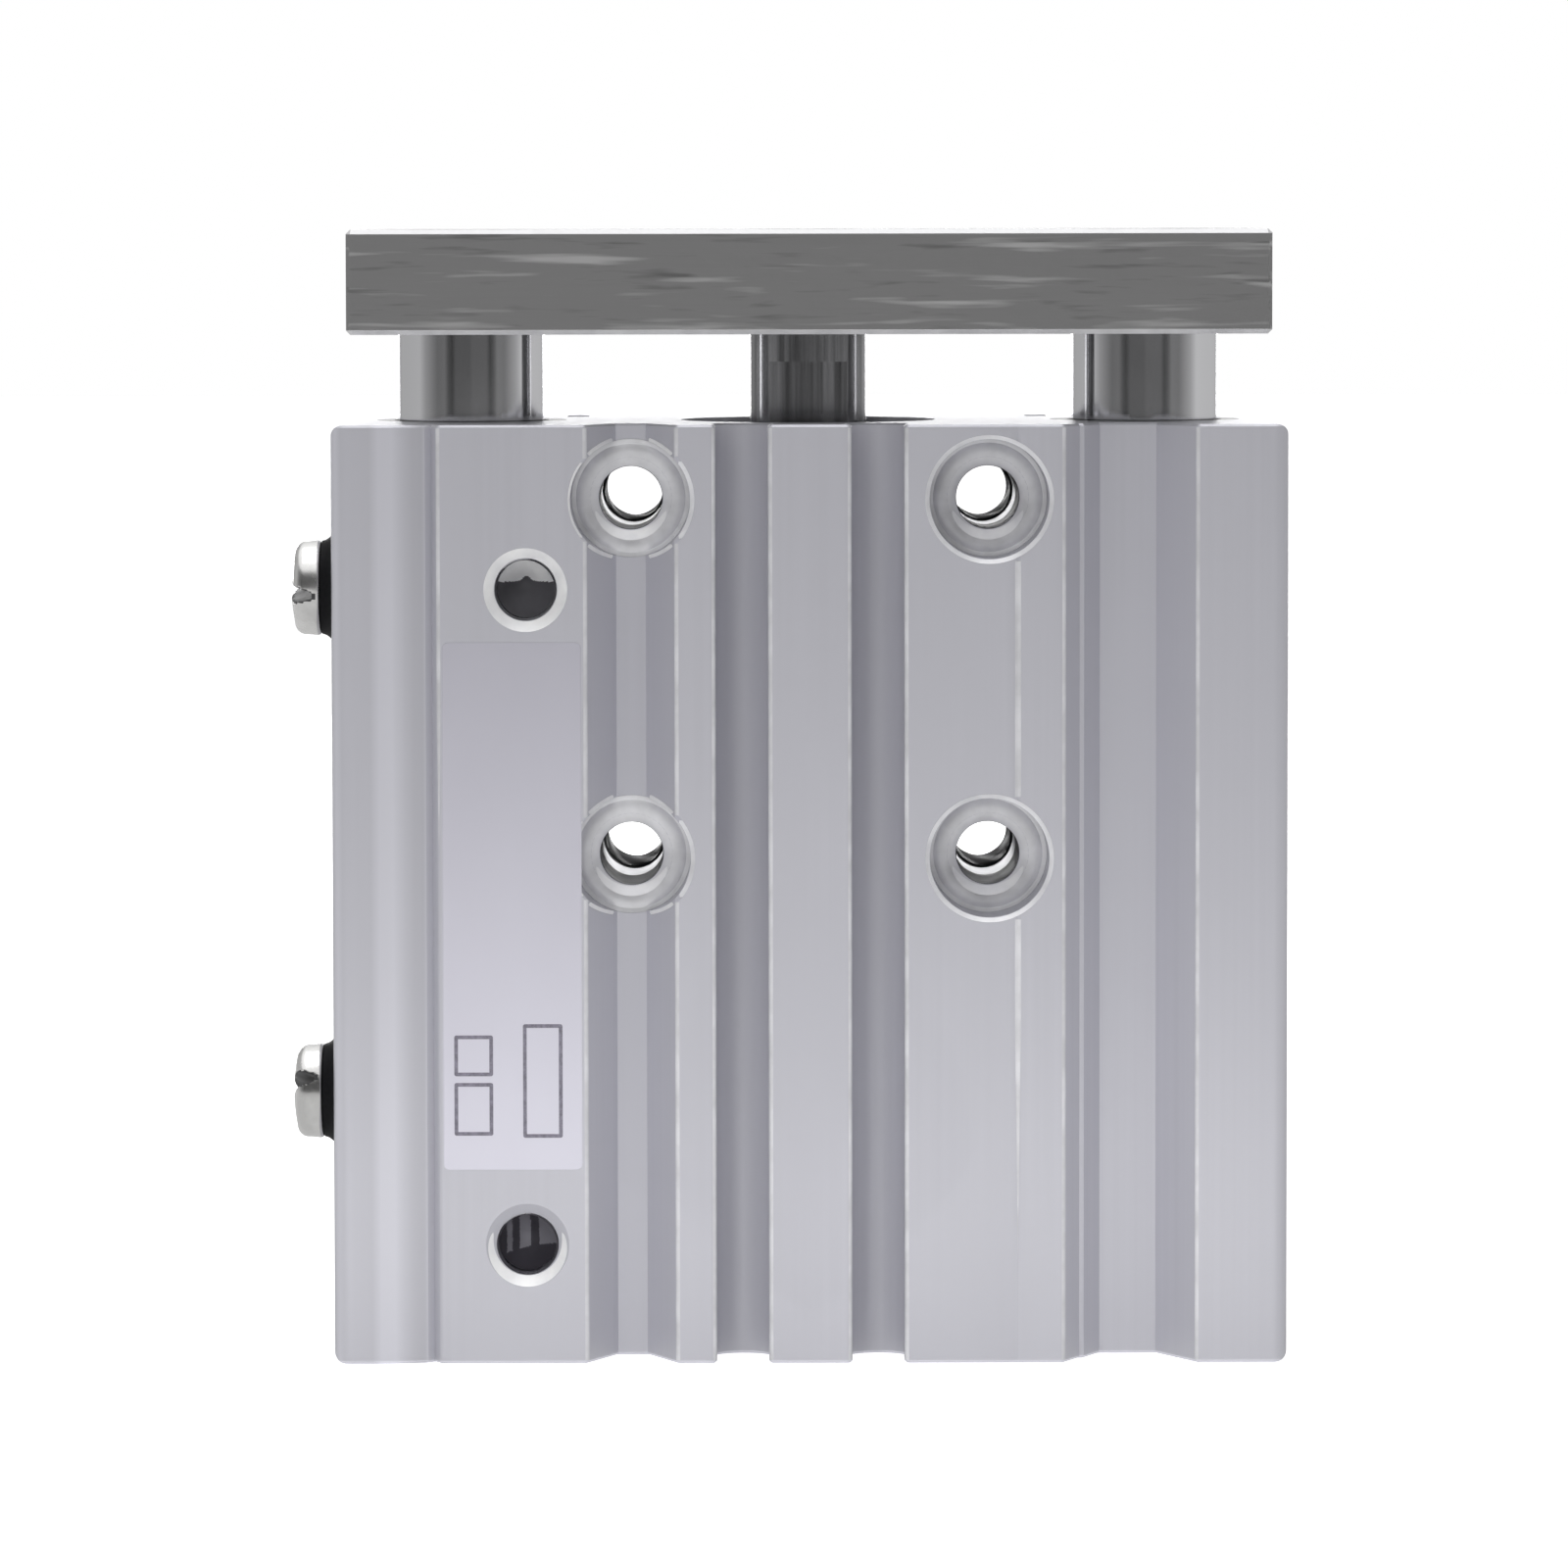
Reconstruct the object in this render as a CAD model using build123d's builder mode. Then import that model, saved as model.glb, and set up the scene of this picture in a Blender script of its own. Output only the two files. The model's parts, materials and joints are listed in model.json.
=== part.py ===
from build123d import *
import os
from math import cos, radians, sin, sqrt

# Compact guided air cylinder, all sizes in millimetres.
# Origin: centre of the body's bottom face, on the piston axis.
# +Z is the way the tool plate travels, -Y is the port face, the guide rods stand on the X axis.
os.makedirs("parts", exist_ok=True)

# Clearances
running_gap = 0.05
seat_gap = 0.02
overcut = 2.0

# Travel and the stack of pieces along the piston axis, from the bottom up
stroke = 25.0
head_margin = 1.0
ring_thickness = 1.0
head_cover_length = 5.0
end_gap = 0.2
bumper_thickness = 2.0
piston_length = 12.0
spacer_length = 5.0
collar_length = 8.0
collar_margin = 0.6

# Body section, with the distances that set its width from the bore outwards
mount_offset = 4.0
guide_offset = 11.0
side_offset = 9.0
body_depth = 30.0
corner_radius = 1.1
end_chamfer = 0.15
end_corner_radius = 0.8
mouth_round = 0.4

# Piston bore and its two end pockets
bore_diameter = 16.0
pocket_step = 0.7
ring_groove_depth = 0.65

# Guide rods, their bearings and wipers
guide_rod_diameter = 10.0
guide_rod_recess = 0.5
guide_rod_chamfer = 0.6
guide_relief_gap = 0.4
bearing_wall = 1.45
bearing_length = 14.0
bearing_run_out = 1.5
felt_thickness = 1.5
holder_thickness = 1.5
holder_gap = 0.3

# Piston rod
rod_to_bore_ratio = 0.5
rod_flat_step = 1.0
rod_flat_sink = 0.2
rod_round_top = 2.0
spigot_step = 1.0
spigot_length = 10.0
rod_end_chamfer = 0.3

# Piston, seal and magnet
seal_groove_start = 1.8
seal_groove_width = 2.6
magnet_groove_start = 6.0
magnet_groove_width = 3.0
piston_groove_depth = 1.95
magnet_recess = 0.2
seal_lip = 0.5
bumper_inset = 2.0
bumper_chamfer = 0.4
spacer_inset = 2.5
rod_slip_gap = 0.1

# Rod collar and head cover
bush_length = 4.2
bush_wall = 1.0
bush_shoulder = 0.4
rod_seal_width = 2.4
rod_seal_height = 2.0
collar_lip_gap = 0.4
ring_section = 1.2
gasket_groove_height = 1.6
gasket_sides = 8
cover_dish_diameter = 10.0
cover_dish_depth = 0.8

# Retaining rings
retainer_width = 1.4
retainer_shift = 0.25
retainer_gap_angle = 60.0
retainer_lug_radius = 1.35
retainer_eye_radius = 0.6

# Tool plate
plate_overhang = 8.0
plate_set_back = 2.5
plate_thickness = 7.0
plate_gap = 6.0
plate_chamfer = 0.3
plate_hole_inset_x = 4.0
plate_hole_inset_y = 4.5
tap_radius = 2.1
tap_rim_radius = 2.5

# Plate bolts
guide_bolt_diameter = 5.0
guide_bolt_head_diameter = 8.5
guide_bolt_head_height = 3.5
guide_bolt_socket = 3.0
guide_bolt_engagement = 8.8
rod_bolt_diameter = 4.0
rod_bolt_head_diameter = 7.0
rod_bolt_head_height = 2.8
rod_bolt_socket = 2.5
rod_bolt_engagement = 8.1
bolt_recess = 0.3
bolt_head_gap = 0.25
bolt_hole_reserve = 1.5
bolt_socket_depth = 1.7
bolt_edge = 0.3

# Body mounting holes
mount_spacing_z = 24.0
mount_top_inset = 5.0
mount_hole_diameter = 4.3
mount_counterbore_diameter = 8.0
mount_counterbore_depth = 4.5
mount_rim = 0.3
mount_seat_chamfer = 0.6
bottom_hole_inset = 4.0
bottom_hole_depth = 12.0
dowel_diameter = 3.0
dowel_slot_length = 3.5
dowel_depth = 6.0

# Ports, air passages and plugs
port_offset = 7.0
port_rise = 1.0
port_drop = 1.4
port_depth = 4.5
port_rim_radius = 2.8
side_port_inset = 5.0
side_port_rise = 10.0
side_port_overrun = 1.0
passage_radius = 0.75
passage_overrun = 1.0
drill_offset = 1.2
drill_turn = radians(45)
entry_angle = radians(55)
cross_drill_radius = 2.0
ball_diameter = 4.5
ball_seat_depth = 3.5
plug_thread_length = 3.5
plug_head_diameter = 6.4
plug_head_height = 1.95
plug_head_chamfer = 0.6
plug_head_chamfer_width = 0.85
plug_slot_width = 0.9
plug_slot_depth = 1.2
plug_gasket_thickness = 0.8
plug_gasket_diameter = 7.4
plug_gasket_taper = 0.5
plug_turns = {"upper": 0.0, "lower": 62.0}

# Front face, from the left edge to the right
shoulder_width = 6.3
shoulder_flat = 3.0
shoulder_drop = 0.55
shoulder_slope = 0.25
vee_width = 0.85
vee_depth = 1.0
panel_depth = 0.15
web_mouth = 6.1
web_floor = 2.0
web_depth = 4.4
sensor_half_spacing = 4.55
sensor_neck = 3.5
sensor_diameter = 4.0
sensor_axis_depth = 3.1
scribe_offset = 1.9
scribe_width = 0.4
scribe_floor = 0.04
scribe_depth = 0.07
channel_offset = 9.45
channel_mouth = 8.9
channel_floor = 3.8
channel_depth = 4.7
channel_ledge = 0.3
channel_ledge_depth = 2.3

# Back face
slot_offset = 4.0
slot_mouth = 4.4
slot_width = 7.4
slot_lip = 2.5
slot_depth = 6.7

# Heights that follow from the stack
head_ring_z = head_margin
head_cover_z = head_ring_z + ring_thickness
bore_bottom_z = head_cover_z + head_cover_length
head_bumper_z = bore_bottom_z + end_gap
piston_z = head_bumper_z + bumper_thickness
rod_bumper_z = piston_z + piston_length
spacer_z = rod_bumper_z + bumper_thickness
spacer_top_z = spacer_z + spacer_length
bore_top_z = spacer_top_z + stroke + end_gap
collar_ring_z = bore_top_z + collar_length
body_height = collar_ring_z + ring_thickness + collar_margin
plate_z = body_height + plate_gap
plate_top_z = plate_z + plate_thickness

# Places on the body that follow from the sizes above
half_depth = body_depth / 2
front_y = -half_depth
bore_radius = bore_diameter / 2
pocket_radius = bore_radius + pocket_step
mount_x = bore_radius + mount_offset
guide_x = mount_x + guide_offset
half_width = guide_x + side_offset
guide_rod_radius = guide_rod_diameter / 2
piston_rod_radius = bore_radius * rod_to_bore_ratio
spigot_radius = piston_rod_radius - spigot_step
bearing_bore_radius = guide_rod_radius + running_gap + bearing_wall
cover_radius = pocket_radius - running_gap
gasket_floor_radius = cover_radius - ring_section - seat_gap
rod_running_radius = piston_rod_radius + running_gap
rod_slip_radius = piston_rod_radius + rod_slip_gap
bush_radius = rod_running_radius + bush_wall
rod_seal_radius = rod_running_radius + rod_seal_width
spigot_z = rod_bumper_z - spigot_length
mount_top_z = body_height - mount_top_inset
mount_low_z = mount_top_z - mount_spacing_z
port_x = -mount_x - port_offset
port_low_z = bore_bottom_z + port_rise
port_top_z = bore_top_z - port_drop
side_port_y = front_y + side_port_inset
side_port_low_z = port_low_z + side_port_rise
side_port_depth = half_width + port_x + side_port_overrun
holder_z = body_height - holder_thickness
felt_z = holder_z - felt_thickness
upper_bearing_z = felt_z - bearing_length
lower_bearing_z = guide_rod_recess + stroke + bearing_run_out
dowel_z = (mount_top_z + mount_low_z) / 2
dip_left_x = -half_width + shoulder_flat
vee_left_x = -half_width + shoulder_width
panel_left_x = vee_left_x + vee_width
panel_width = -mount_x - web_mouth / 2 - panel_left_x
scribe_x = mount_x + scribe_offset
channel_x = mount_x + channel_offset
slot_x = guide_x - slot_offset

# Work planes on the outer faces, each with its normal pointing out
front_plane = Plane(origin=(0, front_y, 0), x_dir=(1, 0, 0), z_dir=(0, -1, 0))
back_plane = Plane(origin=(0, half_depth, 0), x_dir=(-1, 0, 0), z_dir=(0, 1, 0))
bottom_plane = Plane(origin=(0, 0, 0), x_dir=(1, 0, 0), z_dir=(0, 0, -1))
side_plane = Plane(origin=(-half_width, side_port_y, 0), x_dir=(0, -1, 0), z_dir=(-1, 0, 0))


def trapezoid_groove(center_x, mouth, floor, depth):
    """A groove with sloping walls, cut into the front face."""
    Polygon(
        (center_x - mouth / 2, front_y),
        (center_x - floor / 2, front_y + depth),
        (center_x + floor / 2, front_y + depth),
        (center_x + mouth / 2, front_y),
        align=None,
        mode=Mode.SUBTRACT,
    )


def is_mouth_corner(vertex):
    """True for the sharp corners where a groove meets the panel, the front or the back face."""
    near_face = half_depth - abs(vertex.Y) < panel_depth + seat_gap
    past_shoulder = vertex.X > vee_left_x or vertex.Y > 0
    inside_corners = abs(vertex.X) < half_width - corner_radius - seat_gap
    return near_face and past_shoulder and inside_corners and abs(vertex.X - scribe_x) > scribe_width


def drill_passage(start, end, radius):
    """A round passage from one point to another."""
    path = Vector(*end) - Vector(*start)
    with Locations(Plane(origin=start, z_dir=path)):
        Cylinder(radius, path.length, align=(Align.CENTER, Align.CENTER, Align.MIN), mode=Mode.SUBTRACT)


def ring_profile(inner_radius, outer_radius, bottom, top, mode=Mode.ADD):
    """Half section of a plain ring round the piston axis."""
    Polygon(
        (inner_radius, bottom),
        (outer_radius, bottom),
        (outer_radius, top),
        (inner_radius, top),
        align=None,
        mode=mode,
    )


def save(piece, name):
    """Label a finished piece and write its file."""
    piece.part.label = name
    export_step(piece.part, f"parts/{name}.step")


# Body: the extruded section with its grooves, then everything that is drilled into it
with BuildPart() as housing:
    with BuildSketch() as section:
        RectangleRounded(2 * half_width, body_depth, corner_radius)
        with BuildLine():
            dip = Spline(
                (dip_left_x, front_y),
                (vee_left_x, front_y + shoulder_drop),
                tangents=[(1, 0), (1, shoulder_slope)],
            )
            Polyline(dip @ 1, (vee_left_x, front_y - overcut), (dip_left_x, front_y - overcut), dip @ 0)
        make_face(mode=Mode.SUBTRACT)
        Polygon(
            (vee_left_x, front_y),
            (vee_left_x, front_y + shoulder_drop),
            (vee_left_x + vee_width / 2, front_y + vee_depth),
            (panel_left_x, front_y + panel_depth),
            (panel_left_x, front_y),
            align=None,
            mode=Mode.SUBTRACT,
        )
        with Locations((panel_left_x, front_y)):
            Rectangle(
                panel_width + web_mouth / 4, panel_depth, align=(Align.MIN, Align.MIN), mode=Mode.SUBTRACT
            )
        trapezoid_groove(-mount_x, web_mouth, web_floor, web_depth)
        for groove_x in (-sensor_half_spacing, sensor_half_spacing):
            with Locations((groove_x, front_y)):
                Rectangle(
                    sensor_neck, sensor_axis_depth, align=(Align.CENTER, Align.MIN), mode=Mode.SUBTRACT
                )
            with Locations((groove_x, front_y + sensor_axis_depth)):
                Circle(sensor_diameter / 2, mode=Mode.SUBTRACT)
        trapezoid_groove(scribe_x, scribe_width, scribe_floor, scribe_depth)
        channel_slope = (channel_mouth - channel_floor) / 2 / channel_depth
        ledge_x = channel_x - channel_mouth / 2 + channel_slope * channel_ledge_depth
        Polygon(
            (channel_x - channel_mouth / 2, front_y),
            (ledge_x - channel_ledge / 2, front_y + channel_ledge_depth),
            (ledge_x + channel_ledge / 2, front_y + channel_ledge_depth),
            (channel_x - channel_floor / 2, front_y + channel_depth),
            (channel_x + channel_floor / 2, front_y + channel_depth),
            (channel_x + channel_mouth / 2, front_y),
            align=None,
            mode=Mode.SUBTRACT,
        )
        with Locations((-slot_x, half_depth), (slot_x, half_depth)):
            Rectangle(slot_mouth, slot_depth, align=(Align.CENTER, Align.MAX), mode=Mode.SUBTRACT)
        with Locations((-slot_x, half_depth - slot_lip), (slot_x, half_depth - slot_lip)):
            Rectangle(slot_width, slot_depth - slot_lip, align=(Align.CENTER, Align.MAX), mode=Mode.SUBTRACT)
        fillet(section.vertices().filter_by(is_mouth_corner), mouth_round)
    extrude(amount=body_height)
    chamfer(housing.faces().filter_by(Axis.Z).edges(), end_chamfer)
    with BuildSketch(Plane.XZ):
        with Locations((0, body_height / 2)):
            RectangleRounded(2 * half_width, body_height, end_corner_radius)
    extrude(amount=half_depth, both=True, mode=Mode.INTERSECT)

    # Piston bore, wider at both ends, with a groove for each retaining ring
    with Locations((0, 0, body_height)):
        CounterBoreHole(bore_radius, pocket_radius, body_height - bore_top_z)
    with Locations(bottom_plane):
        CounterBoreHole(bore_radius, pocket_radius, bore_bottom_z)
    for groove_z in (head_ring_z, collar_ring_z):
        with BuildSketch(Plane.XY.offset(groove_z)):
            Circle(pocket_radius + ring_groove_depth)
        extrude(amount=ring_thickness, mode=Mode.SUBTRACT)

    # Guide bores: bearing seats from the top, a relieved bore below them
    with Locations((-guide_x, 0, body_height), (guide_x, 0, body_height)):
        CounterBoreHole(
            guide_rod_radius + guide_relief_gap, bearing_bore_radius, body_height - lower_bearing_z
        )

    # Mounting holes through the body, counterbored from the front
    mount_places = [
        front_plane * Pos(x, z) for x in (-mount_x, mount_x) for z in (mount_low_z, mount_top_z)
    ]
    with Locations(*mount_places):
        CounterBoreHole(mount_hole_diameter / 2, mount_counterbore_diameter / 2, mount_counterbore_depth)
        CounterSinkHole(
            mount_hole_diameter / 2, mount_counterbore_diameter / 2 + mount_rim, counter_sink_angle=90
        )
        with Locations((0, 0, -mount_counterbore_depth)):
            CounterSinkHole(
                mount_hole_diameter / 2, mount_hole_diameter / 2 + mount_seat_chamfer, counter_sink_angle=90
            )

    # Dowel hole and dowel slot in the back
    with Locations(back_plane * Pos(mount_x, dowel_z)):
        Hole(dowel_diameter / 2, dowel_depth)
    with BuildSketch(back_plane * Pos(-mount_x, dowel_z)):
        SlotOverall(dowel_slot_length, dowel_diameter)
    extrude(amount=-dowel_depth, mode=Mode.SUBTRACT)

    # Tapped holes in the bottom
    with Locations(bottom_plane):
        with GridLocations(
            2 * (half_width - bottom_hole_inset), 2 * (half_depth - bottom_hole_inset), 2, 2
        ):
            CounterSinkHole(tap_radius, tap_rim_radius, bottom_hole_depth, 90)

    # Front and side ports
    with Locations(*[front_plane * Pos(port_x, z, -panel_depth) for z in (port_low_z, port_top_z)]):
        CounterSinkHole(tap_radius, port_rim_radius, port_depth, 90)
    with Locations(*[side_plane * Pos(0, z) for z in (side_port_low_z, port_top_z)]):
        Hole(tap_radius, side_port_depth)

    # Cross drilling that joins the lower ports, with its ball seat
    with Locations(bottom_plane * Pos(port_x, -side_port_y)):
        CounterBoreHole(cross_drill_radius, ball_diameter / 2 + seat_gap, ball_seat_depth, side_port_low_z)

    # Air passages to both ends of the bore, each drilled aslant through a side port's mouth
    entry_radius = bore_radius - passage_overrun
    bore_entry = (-entry_radius * cos(entry_angle), -entry_radius * sin(entry_angle))
    drill_passage(
        (-half_width, side_port_y - drill_offset, port_top_z),
        (*bore_entry, port_top_z),
        passage_radius,
    )
    low_mouth_y = side_port_y - drill_offset * sin(drill_turn)
    low_mouth_z = side_port_low_z + drill_offset * cos(drill_turn)
    drill_passage(
        (-half_width, low_mouth_y, low_mouth_z),
        (*bore_entry, port_low_z),
        passage_radius,
    )
save(housing, "housing")


def gasket_ring(groove_z):
    """Sealing ring in the outer groove of the collar or the head cover, its section a polygon."""
    with BuildSketch(Plane.XZ) as ring:
        with Locations((cover_radius - ring_section / 2, groove_z + gasket_groove_height / 2)):
            RegularPolygon(ring_section / 2, gasket_sides, major_radius=False, rotation=180 / gasket_sides)
    revolve(ring.sketch, axis=Axis.Z)


def retaining_ring(bottom_z):
    """Spring ring with two eyes, open towards the front, its width least at the opening."""
    ring_outer = pocket_radius + ring_groove_depth - seat_gap
    half_gap = retainer_gap_angle / 2
    reach_x = 2 * ring_outer * sin(radians(half_gap))
    reach_y = -2 * ring_outer * cos(radians(half_gap))
    with BuildSketch(Plane.XY.offset(bottom_z)) as ring:
        Circle(ring_outer)
        with Locations((0, -retainer_shift)):
            Circle(ring_outer - retainer_width, mode=Mode.SUBTRACT)
        Polygon((0, 0), (-reach_x, reach_y), (reach_x, reach_y), align=None, mode=Mode.SUBTRACT)
        eye_circle = cover_radius - retainer_lug_radius
        with PolarLocations(eye_circle, 2, -90 - half_gap, retainer_gap_angle, endpoint=True):
            Circle(retainer_lug_radius)
            Circle(retainer_eye_radius, mode=Mode.SUBTRACT)
    extrude(ring.sketch, amount=ring_thickness)


# Rod end of the bore: collar with its bush, rod seal and gasket, held by a ring
bush_top_z = bore_top_z + bush_length
rod_seal_z = bush_top_z + bush_shoulder
rod_seal_top_z = rod_seal_z + rod_seal_height
collar_gasket_z = bore_top_z + (collar_length - gasket_groove_height) / 2
with BuildPart() as rod_collar:
    with BuildSketch(Plane.XZ):
        ring_profile(piston_rod_radius + collar_lip_gap, cover_radius, bore_top_z, collar_ring_z)
        ring_profile(0, bush_radius + seat_gap, bore_top_z, bush_top_z, Mode.SUBTRACT)
        ring_profile(0, rod_seal_radius + seat_gap, rod_seal_z, rod_seal_top_z, Mode.SUBTRACT)
        ring_profile(
            gasket_floor_radius,
            pocket_radius,
            collar_gasket_z,
            collar_gasket_z + gasket_groove_height,
            Mode.SUBTRACT,
        )
    revolve(axis=Axis.Z)
save(rod_collar, "rod_collar")

with BuildPart() as rod_bush:
    with BuildSketch(Plane.XZ):
        ring_profile(rod_running_radius, bush_radius, bore_top_z, bush_top_z)
    revolve(axis=Axis.Z)
save(rod_bush, "rod_bush")

with BuildPart() as rod_seal:
    with BuildSketch(Plane.XZ):
        ring_profile(rod_running_radius, rod_seal_radius, rod_seal_z, rod_seal_top_z)
        Polygon(
            (rod_running_radius + seal_lip, rod_seal_z),
            (rod_seal_radius - seal_lip, rod_seal_z),
            ((rod_running_radius + rod_seal_radius) / 2, rod_seal_z + rod_seal_height / 2),
            align=None,
            mode=Mode.SUBTRACT,
        )
    revolve(axis=Axis.Z)
save(rod_seal, "rod_seal")

with BuildPart() as collar_gasket:
    gasket_ring(collar_gasket_z)
save(collar_gasket, "collar_gasket")

with BuildPart() as collar_retaining_ring:
    retaining_ring(collar_ring_z)
save(collar_retaining_ring, "collar_retaining_ring")

# Head end of the bore: cover and gasket, held by a ring
head_gasket_z = head_cover_z + (head_cover_length - gasket_groove_height) / 2
with BuildPart() as head_cover:
    with BuildSketch(Plane.XZ):
        ring_profile(0, cover_radius, head_cover_z, bore_bottom_z)
        ring_profile(0, cover_dish_diameter / 2, head_cover_z, head_cover_z + cover_dish_depth, Mode.SUBTRACT)
        ring_profile(
            gasket_floor_radius,
            pocket_radius,
            head_gasket_z,
            head_gasket_z + gasket_groove_height,
            Mode.SUBTRACT,
        )
    revolve(axis=Axis.Z)
save(head_cover, "head_cover")

with BuildPart() as head_gasket:
    gasket_ring(head_gasket_z)
save(head_gasket, "head_gasket")

with BuildPart() as head_retaining_ring:
    retaining_ring(head_ring_z)
save(head_retaining_ring, "head_retaining_ring")

# Piston with its seal, magnet and bumpers
seal_groove_z = piston_z + seal_groove_start
seal_groove_top_z = seal_groove_z + seal_groove_width
magnet_groove_z = piston_z + magnet_groove_start
magnet_groove_top_z = magnet_groove_z + magnet_groove_width
piston_radius = bore_radius - running_gap
groove_floor_radius = piston_radius - piston_groove_depth
bumper_radius = bore_radius - bumper_inset
with BuildPart() as piston:
    with BuildSketch(Plane.XZ):
        ring_profile(0, piston_radius, piston_z, rod_bumper_z)
        ring_profile(groove_floor_radius, bore_radius, seal_groove_z, seal_groove_top_z, Mode.SUBTRACT)
        ring_profile(groove_floor_radius, bore_radius, magnet_groove_z, magnet_groove_top_z, Mode.SUBTRACT)
        ring_profile(0, spigot_radius + seat_gap, spigot_z - seat_gap, rod_bumper_z, Mode.SUBTRACT)
    revolve(axis=Axis.Z)
save(piston, "piston")

with BuildPart() as piston_seal:
    with BuildSketch(Plane.XZ):
        ring_profile(groove_floor_radius + seat_gap, piston_radius, seal_groove_z, seal_groove_top_z)
        Polygon(
            (piston_radius, seal_groove_z + seal_lip),
            (piston_radius - seal_lip, (seal_groove_z + seal_groove_top_z) / 2),
            (piston_radius, seal_groove_top_z - seal_lip),
            align=None,
            mode=Mode.SUBTRACT,
        )
    revolve(axis=Axis.Z)
save(piston_seal, "piston_seal")

with BuildPart() as magnet_ring:
    with BuildSketch(Plane.XZ):
        ring_profile(
            groove_floor_radius + seat_gap,
            piston_radius - magnet_recess,
            magnet_groove_z,
            magnet_groove_top_z,
        )
    revolve(axis=Axis.Z)
save(magnet_ring, "magnet_ring")

with BuildPart() as head_bumper:
    with BuildSketch(Plane.XY.offset(head_bumper_z)):
        Circle(bumper_radius)
    extrude(amount=bumper_thickness)
    chamfer(head_bumper.edges().group_by(Axis.Z)[0], bumper_chamfer)
save(head_bumper, "head_bumper")

with BuildPart() as rod_bumper:
    with BuildSketch(Plane.XZ):
        ring_profile(rod_slip_radius, bumper_radius, rod_bumper_z, spacer_z)
    revolve(axis=Axis.Z)
save(rod_bumper, "rod_bumper")

with BuildPart() as stroke_spacer:
    with BuildSketch(Plane.XZ):
        ring_profile(rod_slip_radius, bore_radius - spacer_inset, spacer_z, spacer_top_z)
    revolve(axis=Axis.Z)
save(stroke_spacer, "stroke_spacer")

# Piston rod: spigot in the piston, wrench flats above the body, tapped for the plate bolt
with BuildPart() as piston_rod:
    with BuildSketch(Plane.XY.offset(spigot_z)):
        Circle(spigot_radius)
    extrude(amount=spigot_length)
    with BuildSketch(Plane.XY.offset(rod_bumper_z)):
        Circle(piston_rod_radius)
    extrude(amount=plate_z - rod_bumper_z)
    chamfer(piston_rod.edges().group_by(Axis.Z)[0], rod_end_chamfer)
    flat_z = body_height - rod_flat_sink
    with BuildSketch(Plane.XY.offset(flat_z)):
        Circle(piston_rod_radius + overcut)
        Rectangle(
            2 * (piston_rod_radius + overcut), 2 * (piston_rod_radius - rod_flat_step), mode=Mode.SUBTRACT
        )
    extrude(amount=plate_z - rod_round_top - flat_z, mode=Mode.SUBTRACT)
    with Locations((0, 0, plate_z)):
        Hole(rod_bolt_diameter / 2 + seat_gap, rod_bolt_engagement + bolt_hole_reserve)
save(piston_rod, "piston_rod")

# Tool plate
guide_bolt_seat_z = plate_top_z - bolt_recess - guide_bolt_head_height
rod_bolt_seat_z = plate_top_z - bolt_recess - rod_bolt_head_height
plate_half_width = guide_x + plate_overhang
plate_half_depth = half_depth - plate_set_back
with BuildPart() as plate:
    with BuildSketch(Plane.XY.offset(plate_z)):
        Rectangle(2 * plate_half_width, 2 * plate_half_depth)
    extrude(amount=plate_thickness)
    chamfer(plate.edges(), plate_chamfer)
    with Locations((-guide_x, 0, plate_top_z), (guide_x, 0, plate_top_z)):
        CounterBoreHole(
            guide_bolt_diameter / 2 + bolt_head_gap,
            guide_bolt_head_diameter / 2 + bolt_head_gap,
            plate_top_z - guide_bolt_seat_z,
        )
    with Locations((0, 0, plate_top_z)):
        CounterBoreHole(
            rod_bolt_diameter / 2 + bolt_head_gap,
            rod_bolt_head_diameter / 2 + bolt_head_gap,
            plate_top_z - rod_bolt_seat_z,
        )
    with Locations((0, 0, plate_top_z)):
        with GridLocations(
            2 * (plate_half_width - plate_hole_inset_x), 2 * (plate_half_depth - plate_hole_inset_y), 2, 2
        ):
            CounterSinkHole(tap_radius, tap_rim_radius, counter_sink_angle=90)
save(plate, "plate")


def socket_bolt(place_x, seat_z, radius, head_radius, head_height, socket_width, tip_z):
    """Low-head bolt with a hexagon socket, from the tip of its thread to the top of its head."""
    with BuildSketch(Plane.XY.offset(seat_z)) as head:
        with Locations((place_x, 0)):
            Circle(head_radius)
    extrude(head.sketch, amount=head_height)
    chamfer(faces().sort_by(Axis.Z)[-1].edges(), bolt_edge)
    with BuildSketch(Plane.XY.offset(tip_z)) as shank:
        with Locations((place_x, 0)):
            Circle(radius)
    extrude(shank.sketch, amount=seat_z - tip_z)
    chamfer(faces().sort_by(Axis.Z)[0].edges(), bolt_edge)
    with BuildSketch(Plane.XY.offset(seat_z + head_height)) as socket:
        with Locations((place_x, 0)):
            RegularPolygon(socket_width / 2, 6, major_radius=False)
    extrude(socket.sketch, amount=-bolt_socket_depth, mode=Mode.SUBTRACT)


with BuildPart() as plate_bolt_centre:
    socket_bolt(
        0,
        rod_bolt_seat_z,
        rod_bolt_diameter / 2,
        rod_bolt_head_diameter / 2,
        rod_bolt_head_height,
        rod_bolt_socket,
        plate_z - rod_bolt_engagement,
    )
save(plate_bolt_centre, "plate_bolt_centre")

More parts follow.
